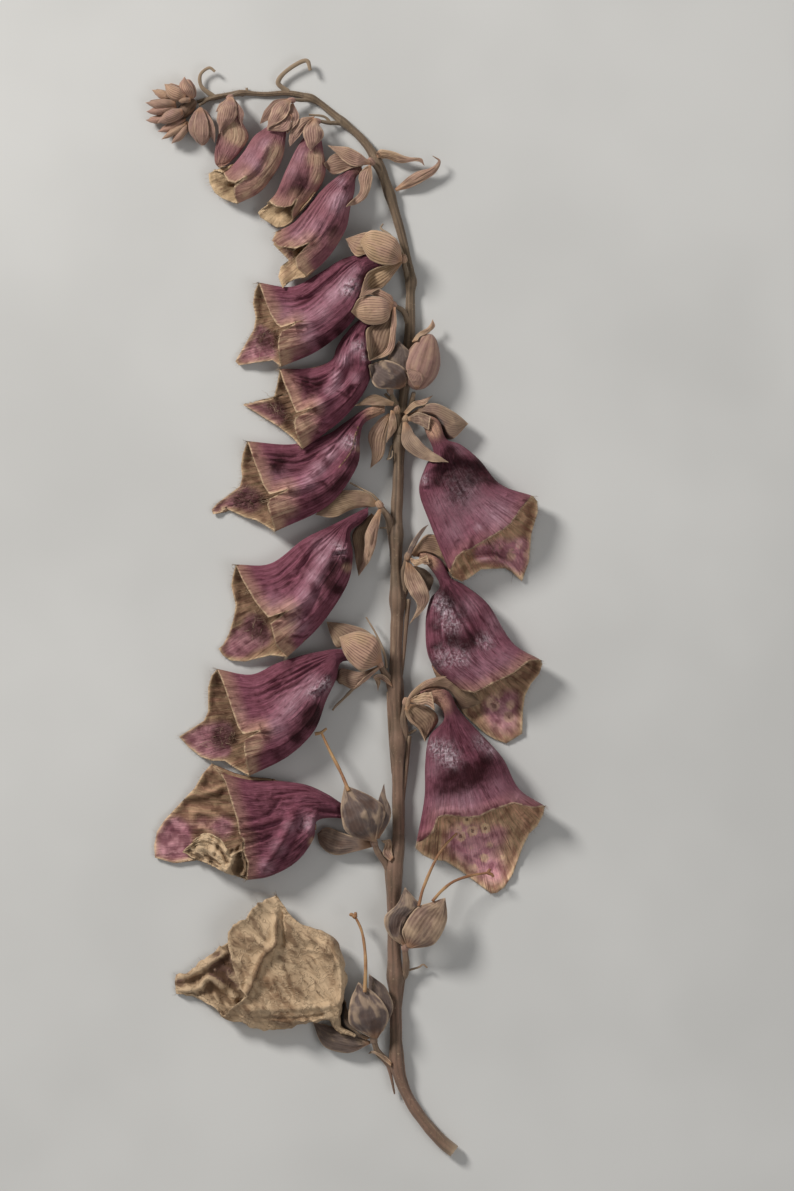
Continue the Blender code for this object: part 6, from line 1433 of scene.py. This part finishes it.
def calyxPiece(key):
    shells = Shells()
    points, radius = stalkLines[key]
    end = np.asarray(points[-1], float)
    ahead = end - np.asarray(points[-2], float)
    ahead /= np.linalg.norm(ahead)
    size = 0.5 + 0.5 * radius
    grey = calyxLook["grey"].get(key, calyxLook["otherGrey"])
    rosy = calyxLook["rosy"].get(key, 0.0)
    top = podShell(
        shells, end - ahead * 0.6, end + ahead * 1.6, calyxLook["across"] * size, calyxLook["up"] * size,
        seed=int(key), blunt=0.6, grey=grey * 0.5, lining=0.0, rosy=rosy, veined=max(0.1, 0.6 - 0.4 * grey),
    )
    for n, (*row, look) in enumerate(sepalSheets[key]):
        look = {"grey": grey, "rosy": rosy, **look}
        laid.add(sheetShell(shells, *row, "corolla_" + key, seed=int(key) * 10 + n, **look))
    laid.add(top)
    return shown("sepals_" + key, shells.mesh("sepals_" + key, sepalMaterial), "calyx_" + key, "calyx_" + key)


flapLook = sheet(
    "-24.4 -66.2, -28 -66.2, -31 -65, -34 -63.5, -37 -62.4, -40.6 -60.6 / -24.8 -57.4, -26.6 -58.8, -29.2 -59.4, "
    "-31.4 -56.8, -35 -55.8, -40.2 -60 / 4.4 5.4 4.8 3.4 1.8", pointed=False, cup=0.35, rough=3.4, flutter=1.8,
)


def flapPiece():  # the torn lip that hangs out of the lowest pink bell
    shells = Shells()
    *row, look = flapLook
    laid.add(sheetShell(shells, *row, seed=61, **look))
    return shown("flap", shells.mesh("flap", parchmentMaterial), "corolla_03")


flapPiece()
sepalPieces = [calyxPiece(key) for key in sepalSheets]
print("sepals made:", sum(len(piece.data.polygons) for piece in sepalPieces), "faces")


# the young capsule, the last bud and the cluster at the tip

podLook = {  # leaves on the pods, and the seeds that tell one from the next
    "across": 0.93, "up": 0.9, "seed": 31, "sheetSeed": 300, "cup": 0.3, "rough": 0.16, "flutter": 0.1, "veined": 0.7,
}
capsuleLook = {  # body is start, end, half width and half height
    "body": ((17.3, 54.8, 4.6), (21.4, 68.6, 4.6), 4.9, 3.9), "grey": 0.45, "rosy": 0.8,
    "sheets": [
        sheet("17.6 55, 16.4 56.6, 15.5 58.4, 15.6 59.7 / 18.4 55, 19.3 56.8, 18.8 58.8 / 6.2 7.4 7.8 7.4"),
    ],
}
budLook = {
    "body": ((-36, 125, 3), (-35.4, 115.8, 2.8), 3.1, 2.3), "grey": 0.5, "rosy": 1.0,
    "sheets": [
        sheet("-36.3 125.2, -38.4 122.6, -38.9 119.4, -36.8 116.2 / -36.2 124.8, -37 121.6, -37 119 / 3.8 4.6 4.6 4"),
        sheet("-35.8 124.8, -34.8 121, -33.8 118.6, -32.4 116.3 / -35 124.6, -33 121.6, -32.2 118.8 / 3.8 4.8 4.6 4"),
        sheet("-36.4 125.2, -37.4 121.4, -37.3 118.4, -35.6 115.4 / -35.6 125.2, -34 121.6, -33.9 118 / 4 5.6 5.6 4.4"),
    ],
}
tipLook = {  # small plump scales, each two edges from base to tip, and height
    "core": ((-37.4, 127.2, 1.8), (-42.2, 122.4, 2), 1.8, 1.5), "podSeed": 80, "sheetSeed": 400,
    "scales": [
        sheet("-42.6 128, -44.4 129.3, -46.2 129.7, -48.2 129.7 / -42.8 127, -44.6 127, -46.6 127.8 / 2.6"),
        sheet("-43 123.8, -45.6 123.2, -47.6 122.8, -49.8 122.2 / -43.2 122.6, -45.6 121.4, -47.8 121.3 / 2.2"),
        sheet("-42 126, -44.8 125.6, -47.4 125.2, -49.6 124.2 / -42 124.6, -44.4 123.6, -47 123.2 / 3"),
        sheet("-42 127, -44.6 127.3, -47 127, -49.8 126.4 / -42.2 125.6, -44.6 125, -47.2 124.9 / 3.6"),
        sheet("-39.6 122.6, -42.4 121.8, -44.6 120.8, -46.8 119.2 / -39.8 121.4, -42 119.8, -44.2 119.1 / 2.8"),
        sheet("-39.6 121.8, -42 120.4, -44 119.2, -45.8 117.2 / -39.4 120.6, -41 119, -43.2 117.8 / 3.4"),
        sheet("-39.4 122, -41 120.2, -42.4 118.4, -43.3 116.2 / -38.8 121, -39.2 119, -41 117 / 3"),
        sheet("-40.4 124.8, -42.6 124.8, -44.8 123.8, -46.7 121.2 / -40.2 123.4, -41.8 122, -44.2 121.2 / 4.6"),
        sheet("-39.4 128.2, -41 130, -42.8 130.7, -45 131 / -39.8 126.6, -42 126.7, -44 127.8 / 4.2"),
        sheet("-38.6 127.2, -41 129.2, -41.2 131, -40 132.9 / -37.8 127.4, -37.5 129.2, -38.6 130.8 / 3.6"),
        sheet("-38.4 127.4, -39.6 127.6, -40.6 127.6, -42 127.2 / -38.4 126.6, -39.6 126.2, -41 126.2 / 4.4"),
    ],
}


def podWithSheets(name, node, look):
    shells = Shells()
    start, end, across, up = look["body"]
    tones = {"grey": look["grey"], "rosy": look["rosy"]}
    laid.add(podShell(shells, start, end, across * podLook["across"], up * podLook["up"], seed=podLook["seed"],
                      blunt=0.2, ribs=9, depth=0.02, lining=0.0, veined=0.5, **tones))
    tones |= {key: podLook[key] for key in ("cup", "rough", "flutter", "veined")}
    for n, row in enumerate(look["sheets"]):
        laid.add(sheetShell(shells, *row[:4], seed=podLook["sheetSeed"] + n, **tones))
    shown(name, shells.mesh(name, sepalMaterial), node, node)


def tipPiece():
    shells = Shells()
    # the core between the scales is painted deep in shade
    podShell(shells, *tipLook["core"], seed=77, blunt=0.4, ribs=7, lining=0.9, grey=0.3, rosy=0.8, veined=1.0)
    for n, (left, right, (height,), *_) in enumerate(tipLook["scales"]):
        base, tip = ((np.asarray(left[i]) + np.asarray(right[i])) / 2 for i in (0, -1))
        width = max(np.linalg.norm(np.asarray(a) - np.asarray(b)) for a, b in zip(left[1:-1], right[1:-1]))
        body = base + (tip - base) * 0.86
        tones = {"grey": 0.1 + n * 5 % 4 * 0.12, "rosy": 0.4 + n * 7 % 5 * 0.15, "veined": 1.0, "veins": 7}
        podShell(shells, (*base, height - 0.9), (*body, height - 0.5), width * 0.5, 1.2, seed=tipLook["podSeed"] + n,
                 blunt=0.5, ribs=4, lining=0.1, **tones)
        heights = (height, height + 0.5, height + 0.3, height - 0.2)
        sheetShell(shells, left, right, heights, "free", seed=tipLook["sheetSeed"] + n, cup=0.8, rough=0.12,
                   flutter=0.08, small=True, **tones)
    shown("tip", shells.mesh("tip", sepalMaterial), "tip_buds", "tip_buds")


podWithSheets("capsule", "capsule_10", capsuleLook)
podWithSheets("bud", "bud_18", budLook)
tipPiece()
print("capsule, bud and tip made")


# narrow leaves on the stem, thin curls, and the styles that the fallen petals left

bractSheets = [
    sheet("7.6 113.2, 8.8 114.9, 12.2 114.3, 15.8 112.9, 19 112.5, 19.9 110.7 / 7.9 112.6, 10.4 112.6, 14 111.3, "
          "18.2 111.9 / 1.2 2.4 2.8 2.6", veins=6),
    sheet("12.4 105.1, 15.1 107.4, 18 109.3, 21.1 110.1, 23.2 111.8, 21.8 113.2 / 12.8 104.4, 17.7 105.9, 22.1 108.5, "
          "23.9 111.8 / 1.3 2.6 3.2", veins=7),
    sheet("16.6 66.4, 18.2 69, 20.7 70.4, 21.9 72.4 / 17.9 66.6, 18.7 68, 20.2 68.7, 22.4 70.4 / 1.6 3 3.4", veins=4),
    sheet("14.4 48.8, 16.8 51.6, 19.4 52.4, 22 53.4 / 15 48.2, 17.6 50.4, 20 51.2 / 1.4 3.2 4.2 4", veins=4),
    sheet("11.9 -18.6, 9.4 -16.2, 7.2 -16.8, 7.8 -18.2, 8.2 -20.4 / 12.3 -19.6, 9 -17.5, 8.9 -18.2 / "
          "1.6 2.4 2 1.2", veins=3),
    sheet("11.6 -63, 9.6 -60.8, 10 -58.6, 9 -57.6 / 12.2 -62, 11.6 -60, 11.4 -57.4 / 1.6 2.6 4 4.2", veins=4),
    sheet("11.8 -114.2, 8 -111, 5.8 -111 / 12 -113.2, 9.4 -111, 7 -110 / 1.7 1.8 1.2", veins=3),
]
curlLines = creases(  # thin dry threads: points, radius
    "11 22.4 1.8, 9.1 26 3.9, 7.4 28.2 5, 5.1 29.6 5.1, 1.3 31.6 4.6 / 0.36; "
    "13 41.6 1.4, 11.6 40.6 2.6, 11 38.2 3.2, 10.6 37.5 3.2, 11.7 38 3.4, 11.9 39.6 3.6 / 0.26; "
    "10.4 -14.6 3, 9.8 -10.9 3.6, 7.8 -6.2 3.3, 5.3 -1.9 2.6 / 0.32; "
    "2.2 -19.6 2.4, 0 -21.9 1.6, -2.2 -24 1.2, -3.1 -25.2 1 / 0.36; "
    "11.4 20.3 2, 10 20.4 1.8, 8.7 20.4 1.4 / 0.26; "
    "-24.4 129 0.6, -24.6 130.4 0.8 / 0.4; "
    "14.8 87.4 1.6, 13.5 90.5 4.8, 11.2 93.2 6.4, 9 94.9 4.5, 9.5 96.1 4 / 0.34; "
    "-32.8 128.2 0.6, -35.8 130.6 1.4, -36.1 133.5 1.8, -34 135.2 2.1, -32.4 134.3 2.2 / 0.5; "
    "-14.2 129.4 0.8, -16.7 131.6 1.6, -14.4 134.6 2, -9.8 137 2.4, -8.6 134.5 2.6 / 0.62; "
    "13.8 -91 1.6, 16.1 -90 2, 18.4 -89.3 2.2, 19.5 -88.6 2.4, 20.6 -89.4 2.4 / 0.3; "
    "13.7 -32.4 1.6, 15.9 -31 1.9, 17.8 -30 2.1 / 0.4; "
    "-3.4 121.2 1.6, -5.2 123 2.5, -9 123.4 3.2 / 0.36; "
    "10 53.8 3, 11.4 52.4 2.4, 13 50.4 2 / 0.4"
)
styleLines = {
    "01": creases(
        "5 -95 8.2, 5.2 -88 7.2, 4.8 -83 6, 4 -79.4 5.2, 2.3 -76 4.6 / 0.42; "
        "2.7 -76.6 4.8, 1.6 -75.9 4.6, 1.4 -76.3 4.4 / 0.5; "
        "2.7 -76.6 4.8, 2.7 -75.8 4.8, 2.6 -75.4 4.7 / 0.45"
    ),
    "02a": creases(
        "18.4 -73.6 8.2, 19.6 -69 7.4, 22.4 -62.6 6.6, 25 -58.6 6.4, 27.9 -55.6 6.4 / 0.4"
    ),
    "02b": creases(
        "21.8 -72.4 8.2, 24.2 -69.8 7, 27.2 -67.6 6, 31.5 -66.2 5.2, 36 -65.5 4.8 / 0.4; "
        "35.6 -65.6 4.8, 36 -65 4.8, 36.2 -64.6 4.7 / 0.42; "
        "35.6 -65.6 4.8, 36.6 -66 4.8, 37 -66.6 4.7 / 0.42"
    ),
    "03": creases(
        "1 -45 8.6, -1 -40.4 6.8, -3.6 -35.4 5.8, -5.8 -30.7 5 / 0.45; "
        "-7.4 -31 4.8, -5.9 -30.6 5.1, -4.5 -29.6 4.9 / 0.42"
    ),
}
bractLook = {"cup": 0.4, "rough": 0.5, "flutter": 0.6, "grey": 0.4}
threadMake = {"samples": 60, "clear": 1.1, "uneven": 0.15, "bare": 0.6}


def bractPiece():
    shells = Shells()
    for n, (*row, look) in enumerate(bractSheets):
        sheetShell(shells, *row, seed=500 + n, **bractLook, **look)
    shown("bracts", shells.mesh("bracts", sepalMaterial), "stem", "stem")


def threadPiece(name, lines, tree, slot, *nodes):
    made = []
    for points, radius in lines:
        t = np.linspace(0, 1, threadMake["samples"])
        path = curveAt(points, t)
        path[:, 2] = np.maximum(path[:, 2], radius * threadMake["clear"])
        radii = radius * (1.05 - 0.4 * t) * (1 + threadMake["uneven"] * grain(t * 8, t, radius * 9))
        made.append((path, radii, np.full(len(t), threadMake["bare"])))
    shown(name, tree.grown(name, pathMesh(name + "Paths", made)), slot, *nodes)


bractPiece()
threadPiece("curls", curlLines, curlTree, "stem")
for key, lines in styleLines.items():
    threadPiece("style_" + key + "_thread", lines, styleTree, "style_" + key, "style_" + key)
print("bracts, curls and styles made")


# hairs: curling ones tangled in the mouths, a fringe along the lips and a down on the stem

hairTree = Growth("hairs", Sides=3, Steps=7, Curl=0.5, Thick=0.03)


def buildHairTree(g, material):
    points = g.node("GeometryNodeMeshToPoints", {}, {0: g.given("Geometry")})
    strand = g.node("GeometryNodeCurvePrimitiveLine", {}, {"Start": (0, 0, 0), "End": (0, 0, 1)})
    strand = g.node("GeometryNodeResampleCurve", {}, {"Curve": strand, "Count": g.given("Steps")})
    turned = g.node("FunctionNodeAlignRotationToVector", {"axis": "Z"}, {"Vector": g.named("aim", "FLOAT_VECTOR")})
    sockets = {"Points": points, "Instance": strand, "Rotation": turned, "Scale": g.named("length")}
    strands = g.node("GeometryNodeInstanceOnPoints", {}, sockets)
    strands = g.node("GeometryNodeRealizeInstances", {}, {0: strands})
    share = g.node("GeometryNodeSplineParameter", {}, {})
    place = g.node("GeometryNodeInputPosition", {}, {})
    sway = g.node("ShaderNodeTexNoise", {"noise_dimensions": "3D"}, {"Vector": place, "Scale": 420.0, "Detail": 1.0}, 1)
    sway = g.scaled(g.vectors("SUBTRACT", sway, (0.5, 0.5, 0.5)), share * g.given("Curl") * 0.006)
    moved = g.vectors("MAXIMUM", g.vectors("ADD", place, sway), (-1.0, -1.0, 0.00008))  # none sinks into the table
    strands = g.node("GeometryNodeSetPosition", {}, {0: strands, "Position": moved})
    radius = g.given("Thick") * mm
    ring = g.node("GeometryNodeCurvePrimitiveCircle", {}, {"Resolution": g.given("Sides"), "Radius": radius})
    sockets = {"Curve": strands, "Profile Curve": ring, "Scale": 1.0 - share * 0.6, "Fill Caps": True}
    tubes = g.node("GeometryNodeCurveToMesh", {}, sockets)
    g.finish(tubes, material)


buildHairTree(hairTree, hairMaterial)


def stemDown():  # root, aim and length of the short hairs on the stem
    line = curveAt([row[:2] for row in stemLine], np.linspace(0, 1, 400))
    at = dice.integers(0, len(line) - 1, hairMake["down"])
    width = np.interp(at, np.linspace(0, len(line), len(stemLine)), [row[2] for row in stemLine])
    ahead = unit(line[at + 1] - line[at])
    side = np.stack([ahead[:, 1], -ahead[:, 0]], axis=1)
    turn = dice.uniform(-0.2, math.pi + 0.2, len(at))
    out = np.column_stack([side * np.cos(turn)[:, None], np.sin(turn)])
    root = np.column_stack([line[at], width * 1.02]) + out * width[:, None]
    aim = unit(out + dice.normal(0, 0.3, out.shape))
    return np.hstack([root, aim, dice.uniform(*hairMake["downLong"], (len(at), 1))])


def hairPiece(name, rows, slot, **inputs):
    rows = np.vstack(rows)
    mesh = bpy.data.meshes.new(name + "Roots")
    mesh.from_pydata(((rows[:, :3] + planShift) * mm).tolist(), [], [])
    mesh.attributes.new("aim", "FLOAT_VECTOR", "POINT").data.foreach_set("vector", rows[:, 3:6].ravel())
    mesh.attributes.new("length", "FLOAT", "POINT").data.foreach_set("value", rows[:, 6] * mm)
    shown(name, hairTree.grown(name, mesh, **inputs), slot)


hairPiece("tangles", hairBeds["tangles"], "corolla_05", Curl=1.0, Thick=0.045)
hairPiece("fringes", hairBeds["fringes"], "corolla_05", Curl=0.35, Thick=0.028)
hairPiece("down", [stemDown()], "stem", Curl=0.1, Thick=0.022, Steps=3)
print("hairs made:", sum(len(rows) for bed in hairBeds.values() for rows in bed))


# floor, light and camera

floorLook = {"half": 1.2, "pale": tone(214, 213, 210), "mid": tone(203, 202, 199), "cloud": 12.0, "fine": 900.0}
lightLook = {
    "world": (1.0, 0.99, 0.98, 1.0), "strength": 0.24,
    "key": {"place": (-0.72, 0.66, 0.66), "size": 0.3, "power": 12.2, "colour": (1.0, 0.985, 0.96)},
    "fill": {"place": (0.7, -0.3, 0.9), "size": 0.7, "power": 2.3, "colour": (0.96, 0.98, 1.0)},
}
cameraLook = {"place": (0.01296, 0.00314, 1.117), "lens": 135.0, "sensor": 36.0, "near": 0.05, "far": 5.0}


def floorPaint():
    p = Paint("paleFloor", Specular_IOR_Level=0.25)
    cloud = p.noise(p.place(), floorLook["cloud"], 3.0, 0.5)
    fine = p.noise(p.place(), floorLook["fine"], 3.0, 0.6)
    colour = p.mix(p.between(cloud, 0.3, 0.7), floorLook["pale"], floorLook["mid"])
    return p.finish(colour, 0.85 + (fine - 0.5) * 0.1, [(fine, 0.1, 0.1)])


def floorPiece():
    half = floorLook["half"]
    mesh = bpy.data.meshes.new("floor")
    mesh.from_pydata([(-half, -half, 0), (half, -half, 0), (half, half, 0), (-half, half, 0)], [], [(0, 1, 2, 3)])
    mesh.materials.append(floorPaint())
    made = bpy.data.objects.new("floor", mesh)
    bpy.context.scene.collection.objects.link(made)


def areaLight(name, place, size, power, colour):
    light = bpy.data.lights.new(name, "AREA")
    light.shape, light.size, light.energy, light.color = "DISK", size, power, colour
    made = bpy.data.objects.new(name, light)
    made.location = place
    made.rotation_euler = (-Vector(place)).to_track_quat("-Z", "Y").to_euler()
    bpy.context.scene.collection.objects.link(made)


def lightScene():
    scene = bpy.context.scene
    scene.view_settings.view_transform = "Standard"
    world = scene.world or bpy.data.worlds.new("world")
    scene.world = world
    world.use_nodes = True
    background = world.node_tree.nodes["Background"]
    background.inputs["Color"].default_value = lightLook["world"]
    background.inputs["Strength"].default_value = lightLook["strength"]
    for name in ("key", "fill"):
        areaLight(name, **lightLook[name])


def cameraAbove():
    data = bpy.data.cameras.new("camera")
    data.lens, data.sensor_width = cameraLook["lens"], cameraLook["sensor"]
    data.clip_start, data.clip_end = cameraLook["near"], cameraLook["far"]
    made = bpy.data.objects.new("camera", data)
    made.location = cameraLook["place"]
    bpy.context.scene.collection.objects.link(made)
    bpy.context.scene.camera = made


floorPiece()
lightScene()
cameraAbove()
